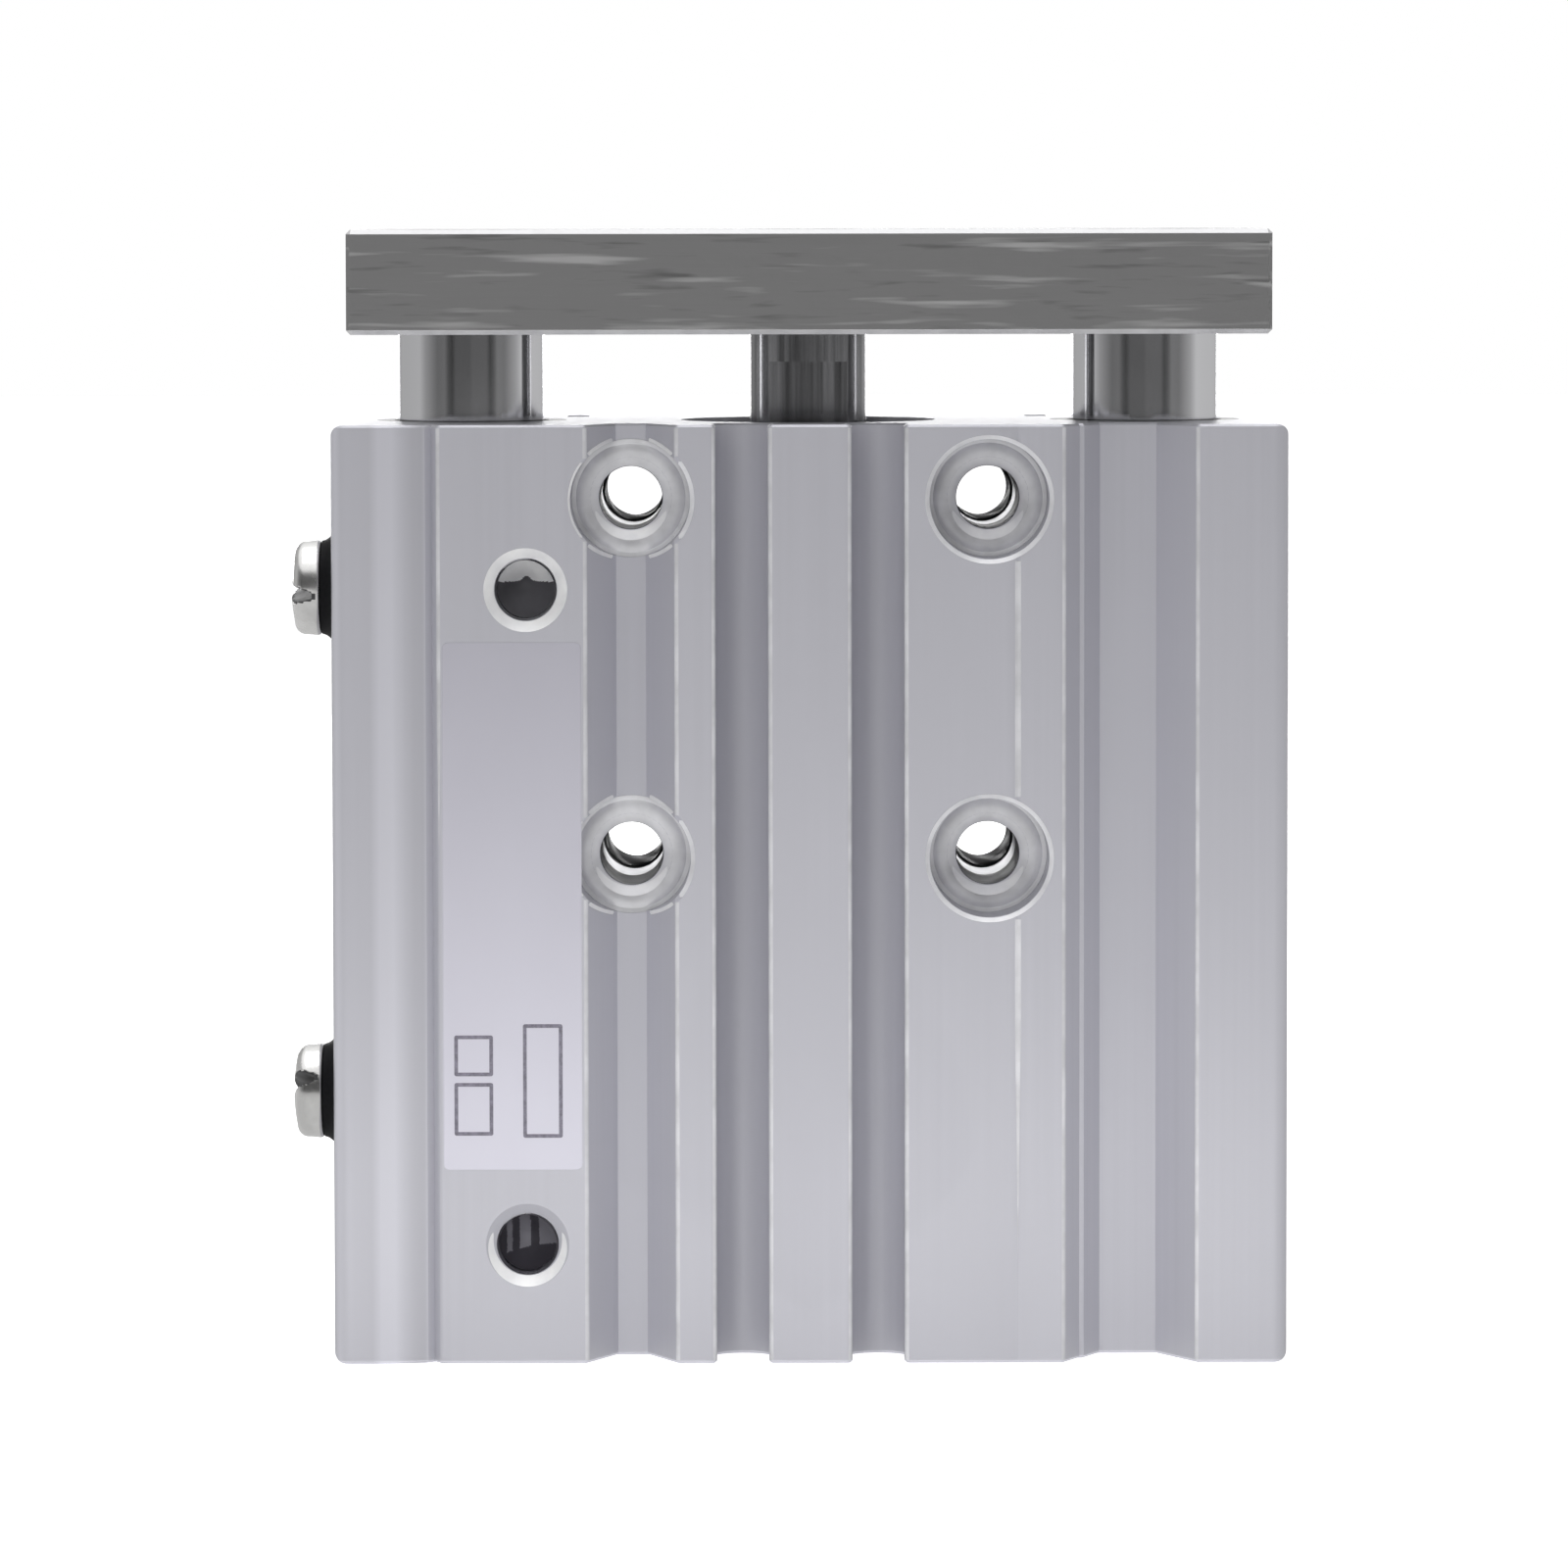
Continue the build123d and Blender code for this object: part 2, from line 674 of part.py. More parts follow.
# One guide column on each side: rod, bolt, two bearings, felt and its holder
for side, column_x in (("left", -guide_x), ("right", guide_x)):
    with BuildPart() as guide_rod:
        with BuildSketch(Plane.XY.offset(guide_rod_recess)):
            with Locations((column_x, 0)):
                Circle(guide_rod_radius)
        extrude(amount=plate_z - guide_rod_recess)
        chamfer(guide_rod.edges().group_by(Axis.Z)[0], guide_rod_chamfer)
        with Locations((column_x, 0, plate_z)):
            Hole(guide_bolt_diameter / 2 + seat_gap, guide_bolt_engagement + bolt_hole_reserve)
    save(guide_rod, f"guide_rod_{side}")

    with BuildPart() as plate_bolt:
        socket_bolt(
            column_x,
            guide_bolt_seat_z,
            guide_bolt_diameter / 2,
            guide_bolt_head_diameter / 2,
            guide_bolt_head_height,
            guide_bolt_socket,
            plate_z - guide_bolt_engagement,
        )
    save(plate_bolt, f"plate_bolt_{side}")

    for level, bearing_z in (("upper", upper_bearing_z), ("lower", lower_bearing_z)):
        with BuildPart() as slide_bearing:
            with BuildSketch(Plane.XY.offset(bearing_z)):
                with Locations((column_x, 0)):
                    Circle(bearing_bore_radius - seat_gap)
                    Circle(guide_rod_radius + running_gap, mode=Mode.SUBTRACT)
            extrude(amount=bearing_length)
        save(slide_bearing, f"slide_bearing_{side}_{level}")

    with BuildPart() as felt_ring:
        with BuildSketch(Plane.XY.offset(felt_z)):
            with Locations((column_x, 0)):
                Circle(bearing_bore_radius - seat_gap)
                Circle(guide_rod_radius + running_gap, mode=Mode.SUBTRACT)
        extrude(amount=felt_thickness)
    save(felt_ring, f"felt_ring_{side}")

    with BuildPart() as felt_holder:
        with BuildSketch(Plane.XY.offset(holder_z)):
            with Locations((column_x, 0)):
                Circle(bearing_bore_radius - seat_gap)
                Circle(guide_rod_radius + holder_gap, mode=Mode.SUBTRACT)
        extrude(amount=holder_thickness)
    save(felt_holder, f"felt_holder_{side}")

# Side port plugs, each on its gasket
for level, plug_z in (("upper", port_top_z), ("lower", side_port_low_z)):
    plug_plane = side_plane * Pos(0, plug_z)
    head_plane = plug_plane * Pos(0, 0, plug_gasket_thickness)
    with BuildPart() as port_plug:
        with BuildSketch(head_plane):
            Circle(plug_head_diameter / 2)
        extrude(amount=plug_head_height)
        chamfer(port_plug.edges().group_by(Axis.X)[0], plug_head_chamfer, plug_head_chamfer_width)
        with BuildSketch(head_plane):
            Circle(tap_radius - seat_gap)
        extrude(amount=-plug_gasket_thickness - plug_thread_length)
        with BuildSketch(head_plane * Pos(0, 0, plug_head_height)):
            Rectangle(2 * plug_head_diameter, plug_slot_width, rotation=plug_turns[level])
        extrude(amount=-plug_slot_depth, mode=Mode.SUBTRACT)
    save(port_plug, f"port_plug_{level}")

    with BuildPart() as plug_gasket:
        with Locations(plug_plane):
            Cone(
                plug_gasket_diameter / 2,
                plug_gasket_diameter / 2 - plug_gasket_taper,
                plug_gasket_thickness,
                align=(Align.CENTER, Align.CENTER, Align.MIN),
            )
            Cylinder(tap_radius, overcut * plug_gasket_thickness, mode=Mode.SUBTRACT)
    save(plug_gasket, f"plug_gasket_{level}")

# Steel ball pressed into the mouth of the cross drilling
ball_radius = ball_diameter / 2
ball_z = ball_seat_depth - sqrt(ball_radius**2 - cross_drill_radius**2) - seat_gap
with BuildPart() as passage_ball:
    with Locations((port_x, side_port_y, ball_z)):
        Sphere(ball_radius)
save(passage_ball, "passage_ball")
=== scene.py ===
"""Looks of a compact guided air cylinder: finishes for its solids, and finer pieces for the eye."""

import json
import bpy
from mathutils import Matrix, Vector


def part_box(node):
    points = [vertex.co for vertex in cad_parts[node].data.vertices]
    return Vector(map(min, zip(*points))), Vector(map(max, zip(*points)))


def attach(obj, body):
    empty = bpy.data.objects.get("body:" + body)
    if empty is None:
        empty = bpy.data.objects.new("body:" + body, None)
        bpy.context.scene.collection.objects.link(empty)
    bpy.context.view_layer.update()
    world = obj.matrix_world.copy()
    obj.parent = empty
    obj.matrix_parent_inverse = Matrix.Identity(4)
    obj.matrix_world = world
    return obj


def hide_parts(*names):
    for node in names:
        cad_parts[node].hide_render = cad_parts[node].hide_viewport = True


bl_info = {
    "name": "Guided air cylinder",
    "version": (1, 0, 0),
    "blender": (4, 5, 0),
    "location": "3D View > Sidebar > Cylinder",
    "description": "Finishes, fasteners, plugs, threads and studio of a compact guided air cylinder",
    "category": "Object",
}

import bmesh
import bpy
import numpy as np
from bpy.props import BoolProperty, FloatProperty, FloatVectorProperty, PointerProperty
from mathutils import Matrix, Vector

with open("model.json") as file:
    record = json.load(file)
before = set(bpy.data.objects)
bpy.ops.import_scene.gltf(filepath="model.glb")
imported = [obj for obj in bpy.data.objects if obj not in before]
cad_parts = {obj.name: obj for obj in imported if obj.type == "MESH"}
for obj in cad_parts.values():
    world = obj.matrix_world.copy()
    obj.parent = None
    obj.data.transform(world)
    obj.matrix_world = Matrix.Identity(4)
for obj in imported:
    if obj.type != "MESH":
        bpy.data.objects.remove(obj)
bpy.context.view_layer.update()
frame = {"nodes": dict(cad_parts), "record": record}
MOUNTS = {mount["name"]: mount for mount in frame["record"]["mounts"]}
BODY = "body"
CARRIAGE = "carriage"
FRONT = (0.0, -1.0, 0.0)
MM = 0.001


# Sizes read from the frame
def node_size(node):
    """Lowest corner and size of a node's box, as arrays in metres."""
    low, high = (np.array(corner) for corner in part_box(node))
    return low, high - low


BODY_LOW, BODY_SIZE = node_size("housing")
PLATE_LOW, PLATE_SIZE = node_size("plate")
PLATE_BOTTOM = float(PLATE_LOW[2])
PLATE_TOP = float(PLATE_LOW[2] + PLATE_SIZE[2])


# Surfaces
def mesh_piece(name, points, faces, material, body=BODY, slot="body_aluminium", smooth=35.0, marked=None):
    """A piece from points and four-cornered faces, welded at seams and poles, its faces turned outwards.

    Edges of more than smooth degrees are sharp. marked, if given, holds a truth value for each face and
    the material of the faces where it is true.
    """
    mesh = bpy.data.meshes.new(name)
    mesh.from_pydata(points.reshape(-1, 3).tolist(), [], faces.reshape(-1, 4).tolist())
    mesh.materials.append(material)
    if marked is not None:
        mesh.materials.append(marked[1])
        mesh.polygons.foreach_set("material_index", np.asarray(marked[0], np.int32).ravel())
    work = bmesh.new()
    work.from_mesh(mesh)
    bmesh.ops.remove_doubles(work, verts=work.verts, dist=1e-7)
    bmesh.ops.dissolve_degenerate(work, edges=work.edges, dist=1e-7)
    bmesh.ops.recalc_face_normals(work, faces=work.faces)
    work.to_mesh(mesh)
    work.free()
    mesh.shade_smooth()
    mesh.set_sharp_from_angle(angle=np.radians(smooth))
    piece = bpy.data.objects.new(name, mesh)
    bpy.context.scene.collection.objects.link(piece)
    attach(piece, body)
    return piece


def grid_faces(rows, columns, wrap_rows=False):
    """Corner indices of the cells of a grid, closed round along its columns and, if asked, its rows."""
    row = np.arange(rows if wrap_rows else rows - 1)[:, None]
    column = np.arange(columns)[None, :]
    next_row, next_column = (row + 1) % rows, (column + 1) % columns
    corners = [row * columns + column, row * columns + next_column]
    corners += [next_row * columns + next_column, next_row * columns + column]
    return np.stack(np.broadcast_arrays(*corners), axis=-1)


def placed(points, origin, axis):
    """Points of (across, rise, along) carried to an axis through origin; rise is up on a level axis."""
    along = np.array(axis, float) / np.linalg.norm(axis)
    side = np.cross((0.0, 0.0, 1.0), along)
    if np.linalg.norm(side) < 0.5:
        side = np.cross((0.0, 1.0, 0.0), along)
    side /= np.linalg.norm(side)
    rise = np.cross(along, side)
    start = np.array(origin, float) + points[..., :1] * side
    return start + points[..., 1:2] * rise + points[..., 2:3] * along


def ringed(rows, angle):
    """Points round the axis, x = r cos a and y = r sin a, for rows of radius and height.

    A row's radius is one number or one for each angle.
    """
    radius = np.array([np.broadcast_to(r, angle.shape) for r, _ in rows])
    height = np.array([np.broadcast_to(h, angle.shape) for _, h in rows])
    return np.stack([radius * np.cos(angle), radius * np.sin(angle), height], axis=-1)


def turned(profile, segments):
    """A profile of radius and height carried round the axis."""
    return ringed(profile, np.linspace(0, 2 * np.pi, segments, endpoint=False))


def turned_piece(name, profile, origin, axis, material, count=96, loop=False, **settings):
    """A turned piece of count segments; its profile runs from pole to pole, or round if loop is set."""
    points = placed(turned(profile, count), origin, axis)
    faces = grid_faces(len(profile), count, wrap_rows=loop)
    return mesh_piece(name, points, faces, material, **settings)


def arc(centre, radius, start, end, steps=6):
    """Points of a circular arc in the profile plane, angles in degrees from the radial direction."""
    angle = np.radians(np.linspace(start, end, steps))
    return [(centre[0] + radius * np.cos(a), centre[1] + radius * np.sin(a)) for a in angle]


# Materials
def finish(name, colour, metallic, roughness):
    """A material with one principled shader of this colour, share of metal and roughness."""
    material = bpy.data.materials.new(name)
    material.use_nodes = True
    shader = shader_of(material)
    shader.inputs["Base Color"].default_value = (*colour, 1.0)
    shader.inputs["Metallic"].default_value = metallic
    shader.inputs["Roughness"].default_value = roughness
    return material


def node(material, kind, **settings):
    """A node added to a material or a world, with its attributes set."""
    made = material.node_tree.nodes.new(kind)
    for key, value in settings.items():
        setattr(made, key, value)
    return made


def join(material, output, target):
    """Link from one socket to another."""
    material.node_tree.links.new(output, target)


def stretched_noise(material, stretch, detail, rough=0.55, distortion=0.0):
    """Noise on the piece's own coordinates; stretch is its number of grains per metre along X, Y and Z."""
    coords = node(material, "ShaderNodeTexCoord")
    mapping = node(material, "ShaderNodeMapping", vector_type="POINT")
    mapping.inputs["Scale"].default_value = stretch
    noise = node(material, "ShaderNodeTexNoise")
    noise.inputs["Scale"].default_value = 1.0
    noise.inputs["Detail"].default_value = detail
    noise.inputs["Roughness"].default_value = rough
    noise.inputs["Distortion"].default_value = distortion
    join(material, coords.outputs["Object"], mapping.inputs["Vector"])
    join(material, mapping.outputs["Vector"], noise.inputs["Vector"])
    return noise.outputs["Fac"]


def spread(material, factor, low, high, middle=(0.35, 0.65)):
    """A factor stretched from the middle of its range to low and high."""
    ranged = node(material, "ShaderNodeMapRange")
    for socket, value in zip(("From Min", "From Max", "To Min", "To Max"), (*middle, low, high)):
        ranged.inputs[socket].default_value = value
    join(material, factor, ranged.inputs["Value"])
    return ranged.outputs["Result"]


def tone_along(material, axis, places, tones):
    """A grey tone that runs from place to place, in metres, along an axis of the piece's coordinates."""
    coords = node(material, "ShaderNodeTexCoord")
    apart = node(material, "ShaderNodeSeparateXYZ")
    join(material, coords.outputs["Object"], apart.inputs["Vector"])
    start, end = places[0], places[-1]
    ramp = node(material, "ShaderNodeValToRGB")
    elements = ramp.color_ramp.elements
    elements.remove(elements[-1])
    for place, tone in zip(places, tones):
        position = (place - start) / (end - start)
        element = elements[0] if place == start else elements.new(position)
        element.position = position
        element.color = (tone, tone, tone, 1.0)
    join(material, spread(material, apart.outputs[axis], 0, 1, (start, end)), ramp.inputs["Fac"])
    return ramp.outputs["Color"]


def toned(material, colour, tone):
    """A colour multiplied by a tone and doubled, so that a tone of 0.5 leaves it as it is."""
    halved = colour_mix(material, 1.0, colour, tone, "MULTIPLY")
    return colour_mix(material, 1.0, halved, (2.0, 2.0, 2.0), "MULTIPLY")


def colour_mix(material, factor, first, second, blend="MIX"):
    """A colour blended from two, by a factor from 0 to 1 that is a socket or a plain number."""
    mix = node(material, "ShaderNodeMix", data_type="RGBA", blend_type=blend)
    for socket, value in ((mix.inputs[6], first), (mix.inputs[7], second)):
        if isinstance(value, bpy.types.NodeSocket):
            join(material, value, socket)
        else:
            socket.default_value = (*value, 1.0)
    if isinstance(factor, bpy.types.NodeSocket):
        join(material, factor, mix.inputs[0])
    else:
        mix.inputs[0].default_value = factor
    return mix.outputs[2]


def relief(material, height, distance, strength, under=None):
    """Surface relief from a height, laid over an earlier one."""
    bump = node(material, "ShaderNodeBump")
    bump.inputs["Distance"].default_value = distance
    bump.inputs["Strength"].default_value = strength
    join(material, height, bump.inputs["Height"])
    if under is not None:
        join(material, under, bump.inputs["Normal"])
    return bump.outputs["Normal"]


def scaled(colour, factor):
    """A colour made darker or lighter."""
    return tuple(min(1.0, channel * factor) for channel in colour)


def mottled(material, factor, colour, dark, light):
    """A colour that a factor runs from a darker to a lighter tone of itself."""
    return colour_mix(material, spread(material, factor, 0, 1), scaled(colour, dark), scaled(colour, light))


def shader_of(material):
    """The principled shader of a material."""
    return material.node_tree.nodes["Principled BSDF"]


def feed(material, colour=None, roughness=None, normal=None):
    """Link sockets to the colour, roughness and normal of a material's shader."""
    inputs = shader_of(material).inputs
    for name, output in (("Base Color", colour), ("Roughness", roughness), ("Normal", normal)):
        if output is not None:
            join(material, output, inputs[name])


# Painted shading in bands on the body's left shoulder, lighter and darker across it: places across it in
# metres, and half the tone's factor there
SHOULDER_SHADING_PLACES = (-0.032, -0.03192, -0.0316, -0.0313, -0.0294, -0.0288)
SHOULDER_SHADING_PLACES += (-0.0279, -0.0271, -0.0265, -0.0259, -0.0257)
SHOULDER_SHADING_TONES = (0.5, 0.56, 0.56, 0.5, 0.485, 0.57, 0.58, 0.5, 0.455, 0.445, 0.5)


def anodised(name, colour, roughness, grain):
    """Satin anodised extrusion: draw lines along Z, soft cloudiness, painted shading in bands on the
    shoulder and etched grain.
    """
    material = finish(name, colour, 0.4, roughness)
    lines = stretched_noise(material, (1600, 1600, 9), detail=5.0)
    clouds = stretched_noise(material, (60, 60, 22), detail=3.0)
    etch = stretched_noise(material, (9000, 9000, 9000), detail=2.0)
    tone = mottled(material, clouds, colour, 0.965, 1.03)
    tone = colour_mix(material, spread(material, lines, 0, 1), tone, colour)
    # Painted shading: lighter and darker bands across the left shoulder
    tone = toned(material, tone, tone_along(material, "X", SHOULDER_SHADING_PLACES, SHOULDER_SHADING_TONES))
    normal = relief(material, lines, 0.0000035, grain)
    normal = relief(material, etch, 0.0000025, grain, normal)
    feed(material, tone, spread(material, lines, roughness - 0.03, roughness + 0.04), normal)
    return material


def ground_steel(name, colour, roughness, grain):
    """Rolled and brushed steel: streaks along X, with short lighter patches and darker marks."""
    material = finish(name, colour, 0.5, roughness)
    streaks = stretched_noise(material, (130, 2600, 2600), detail=5.0, rough=0.6, distortion=0.4)
    patches = stretched_noise(material, (95, 1500, 1500), detail=2.0, distortion=0.15)
    marks = stretched_noise(material, (160, 1900, 1900), detail=2.0, distortion=0.15)
    patched = spread(material, patches, 0, 1, (0.56, 0.74))
    marked = spread(material, marks, 0, 1, (0.58, 0.76))
    tone = colour_mix(material, patched, colour, scaled(colour, 1.85))
    tone = colour_mix(material, marked, tone, scaled(colour, 0.62))
    normal = relief(material, streaks, 0.000006, grain)
    normal = relief(material, patches, 0.00001, 0.5 * grain, normal)
    feed(material, tone, spread(material, streaks, roughness - 0.07, roughness + 0.08), normal)
    return material


def polished(name, colour, roughness, ring_grain):
    """Hard chrome on a ground rod: mirror bright, with very fine grinding rings across the rod."""
    material = finish(name, colour, 1.0, roughness)
    rings = stretched_noise(material, (120, 120, 14000), detail=3.0)
    haze = stretched_noise(material, (90, 90, 60), detail=3.0)
    dullness = spread(material, haze, 0.75 * roughness, 1.4 * roughness)
    feed(material, roughness=dullness, normal=relief(material, rings, 0.0000008, ring_grain))
    return material


def turned_metal(name, colour, roughness, grain, metallic=1.0):
    """Machined metal: fine cloudy tone and a light tool grain."""
    material = finish(name, colour, metallic, roughness)
    grain_noise = stretched_noise(material, (5200, 5200, 5200), detail=3.0)
    clouds = stretched_noise(material, (420, 420, 420), detail=3.0)
    tone = mottled(material, clouds, colour, 0.9, 1.1)
    dullness = spread(material, clouds, 0.85 * roughness, 1.2 * roughness)
    feed(material, tone, dullness, relief(material, grain_noise, 0.000004, grain))
    return material


def soft_part(name, colour, roughness, grain, distance):
    """Rubber, plastic or felt: no metal, an uneven tone and a grain of its own depth."""
    material = finish(name, colour, 0.0, roughness)
    grains = stretched_noise(material, (3800, 3800, 3800), detail=4.0, rough=0.65)
    tone = mottled(material, grains, colour, 0.8, 1.3)
    feed(material, tone, normal=relief(material, grains, distance, grain))
    return material


def keep_cad(node_name, material):
    """A solid of the frame with its finish, its facets welded and shaded as curved faces."""
    piece = frame["nodes"][node_name]
    piece.data.materials.clear()
    piece.data.materials.append(material)
    modifier = piece.modifiers.new("Curved faces", "NODES")
    modifier.node_group = curved_faces_group()


def curved_faces_group():
    """Geometry nodes that weld loose facets and keep only edges over 25 degrees sharp."""
    name = "Curved faces"
    if name in bpy.data.node_groups:
        return bpy.data.node_groups[name]
    group = bpy.data.node_groups.new(name, "GeometryNodeTree")
    group.interface.new_socket("Geometry", in_out="INPUT", socket_type="NodeSocketGeometry")
    group.interface.new_socket("Geometry", in_out="OUTPUT", socket_type="NodeSocketGeometry")
    nodes, links = group.nodes, group.links
    start, end = nodes.new("NodeGroupInput"), nodes.new("NodeGroupOutput")
    weld = nodes.new("GeometryNodeMergeByDistance")
    weld.inputs["Distance"].default_value = 0.000002
    faces = nodes.new("GeometryNodeSetShadeSmooth")
    edges = nodes.new("GeometryNodeSetShadeSmooth")
    edges.domain = "EDGE"
    angle = nodes.new("GeometryNodeInputMeshEdgeAngle")
    sharp = nodes.new("FunctionNodeCompare")
    sharp.data_type = "FLOAT"
    sharp.operation = "LESS_THAN"
    sharp.inputs["B"].default_value = float(np.radians(25))
    links.new(start.outputs[0], weld.inputs["Geometry"])
    links.new(weld.outputs["Geometry"], faces.inputs["Geometry"])
    links.new(faces.outputs["Geometry"], edges.inputs["Geometry"])
    links.new(angle.outputs["Unsigned Angle"], sharp.inputs["A"])
    links.new(sharp.outputs["Result"], edges.inputs["Shade Smooth"])
    links.new(edges.outputs["Geometry"], end.inputs[0])
    return group


# Settings
def length(name, description, default):
    """A length property in metres."""
    return FloatProperty(
        name=name, description=description, default=default, min=0.0, max=1.0, unit="LENGTH", precision=5
    )


def power(name, description, default):
    """A lamp's power in watts."""
    return FloatProperty(name=name, description=description, default=default, min=0.0, unit="POWER")


def share(name, description, default, high=1.0):
    """A plain number from 0 up."""
    return FloatProperty(name=name, description=description, default=default, min=0.0, max=high)


def paint(name, description, default):
    """A colour property."""
    return FloatVectorProperty(
        name=name, description=description, default=default, size=3, min=0.0, max=1.0, subtype="COLOR"
    )


class BodyFinish(bpy.types.PropertyGroup):
    """Extruded body and what is printed or stuck on it."""

    colour: paint("Anodised colour", "Colour of the satin anodised body", (0.605, 0.603, 0.652))
    roughness: share("Roughness", "How dull the anodised face is", 0.42)
    grain: share("Grain", "Strength of draw lines and etched grain", 0.6)
    # Painted highlight: colour of the bright skins over the groove edges
    highlight_colour: paint("Edge colour", "Colour of the burnished edges", (0.70, 0.70, 0.725))
    label_colour: paint("Label colour", "Colour of the bare label film", (0.65, 0.64, 0.715))
    label_width: length("Label width", "Width of the label film", 9.3 * MM)
    label_length: length("Label length", "Length of the label film", 35.4 * MM)
    label_low: length("Label foot", "Height of the label film's lower edge", 13.1 * MM)
    ink_colour: paint("Ink colour", "Colour of the blank frames on the label", (0.185, 0.175, 0.215))


class PlateFinish(bpy.types.PropertyGroup):
    """Tool plate and its bolts."""

    colour: paint("Plate colour", "Colour of the steel plate", (0.268, 0.267, 0.268))
    roughness: share("Roughness", "How dull the plate is", 0.45)
    grain: share("Grain", "Strength of the cross streaks", 0.7)
    # Painted highlight: colour and width of the pale skins over the plate's chamfers
    highlight_colour: paint("Edge colour", "Colour of the plate's bare chamfers", (0.72, 0.72, 0.73))
    edge_width: length("Edge width", "Width of the bare chamfers", 0.3 * MM)
    bolt_colour: paint("Bolt colour", "Colour of the plate bolts", (0.20, 0.20, 0.205))
    bolt_round: length("Bolt edge", "Rounding of the bolt heads", 0.45 * MM)


class RodFinish(bpy.types.PropertyGroup):
    """Guide rods and piston rod."""

    colour: paint("Chrome colour", "Colour of the guide rods", (0.80, 0.80, 0.82))
    roughness: share("Roughness", "How dull the chrome is", 0.07)
    rod_colour: paint("Piston rod colour", "Colour of the piston rod", (0.32, 0.32, 0.33))
    end_chamfer: length("End chamfer", "Chamfer of the guide rods' lower ends", 0.6 * MM)
    centre_drill: length("Centre mark", "Radius of the centre mark in each guide rod's end", 1.1 * MM)


class PlugShape(bpy.types.PropertyGroup):
    """Plugs and gaskets of the side ports."""

    colour: paint("Nickel colour", "Colour of the plugs", (0.80, 0.795, 0.785))
    roughness: share("Roughness", "How dull the plugs are", 0.24)
    head_radius: length("Head radius", "Largest radius of the rounded head", 3.22 * MM)
    crown: length("Crown", "Rounding of the head's edge", 0.75 * MM)
    head_height: length("Head height", "Height of the head over its gasket", 2.05 * MM)
    slot_width: length("Slot width", "Width of the slot's floor", 0.5 * MM)
    slot_depth: length("Slot depth", "Depth of the slot", 1.5 * MM)
    # Painted shade: colour of the plugs' slots
    slot_shade_colour: paint("Slot colour", "Colour of the dull slot", (0.07, 0.07, 0.072))
    gasket_colour: paint("Gasket colour", "Colour of the rubber gaskets", (0.006, 0.006, 0.007))
    gasket_flare: length("Gasket flare", "How far the gasket spreads towards the body", 0.55 * MM)


class ThreadShape(bpy.types.PropertyGroup):
    """Threads in the ports, the through holes, the bottom and the plate."""

    pitch: length("Pitch", "Distance from thread to thread", 0.8 * MM)
    ridge: length("Ridge", "How far the thread stands into its hole", 0.16 * MM)


class RimFinish(bpy.types.PropertyGroup):
    """Bright chamfers and counterbore floors of the body."""

    # Colour of the cut chamfers, also of their painted highlights
    colour: paint("Chamfer colour", "Colour of the freshly cut chamfers", (0.93, 0.93, 0.95))
    seat_colour: paint("Seat colour", "Colour of the counterbores' floors", (0.82, 0.82, 0.84))
    roughness: share("Roughness", "How dull the chamfers are", 0.4)


class Studio(bpy.types.PropertyGroup):
    """Floor, lamps and camera."""

    floor_colour: paint("Floor colour", "Colour of the pale floor", (0.80, 0.80, 0.80))
    key_power: power("Key", "Power of the large front lamp", 2.65)
    fill_power: power("Fill", "Power of the side lamps", 0.2)
    back_power: power("Back", "Power of the low back lamp", 1.8)
    low_power: power("Low", "Power of the strip before the foot", 0.017)
    top_power: power("Top", "Power of the top lamp", 1.6)
    ambient: share("Ambient", "Strength of the light from all round", 0.23, 5.0)
    cards: BoolProperty(name="Cards", description="Cards that give the rods their bands", default=True)


# Pieces
class FinishBody(bpy.types.Operator):
    """Give the extruded body its satin anodised finish"""

    bl_idname = "cylinder.finish_body"
    bl_label = "Body finish"

    def execute(self, context):
        look = context.scene.cylinder_body
        keep_cad("housing", anodised("Anodised body", look.colour, look.roughness, look.grain))
        return {"FINISHED"}


class FinishPlate(bpy.types.Operator):
    """Give the tool plate its streaked steel finish"""

    bl_idname = "cylinder.finish_plate"
    bl_label = "Plate finish"

    def execute(self, context):
        look = context.scene.cylinder_plate
        keep_cad("plate", ground_steel("Plate steel", look.colour, look.roughness, look.grain))
        # Painted highlight: a pale skin over the plate's upper and lower chamfers
        bare = turned_metal("Bare plate edge", look.highlight_colour, 0.4, 0.5, 0.4)
        for name, height, way in (("upper", PLATE_TOP, -1), ("lower", PLATE_BOTTOM, 1)):
            self.make_chamfer_highlight(f"edge_highlight_{name}", height, way, look.edge_width, bare)
        return {"FINISHED"}

    def make_chamfer_highlight(self, name, height, way, bevel, material):
        """A thin skin round the plate over a chamfer, a painted highlight; way is -1 below the height given
        and 1 above it.
        """
        lift, outer_cut, inner_cut = 0.015 * MM, 0.3 * MM, 0.05 * MM
        foot, head = (0.0, bevel), (bevel, 0.0)
        rows = []
        for (inset, rise), out in ((foot, lift), (head, lift), (head, 0.0), (foot, 0.0)):
            x, y = (PLATE_SIZE[0] / 2 - inset + out, PLATE_SIZE[1] / 2 - inset + out)
            cut = outer_cut if inset == 0.0 else inner_cut
            ring = [(x, y - cut), (x - cut, y), (cut - x, y), (-x, y - cut)]
            ring += [(-x, cut - y), (cut - x, -y), (x - cut, -y), (x, cut - y)]
            rows.append(np.column_stack([np.array(ring), np.full(len(ring), height + way * (rise - out))]))
        faces = grid_faces(len(rows), len(ring), wrap_rows=True)
        mesh_piece(name, np.array(rows), faces, material, CARRIAGE, "plate_steel", 20.0)


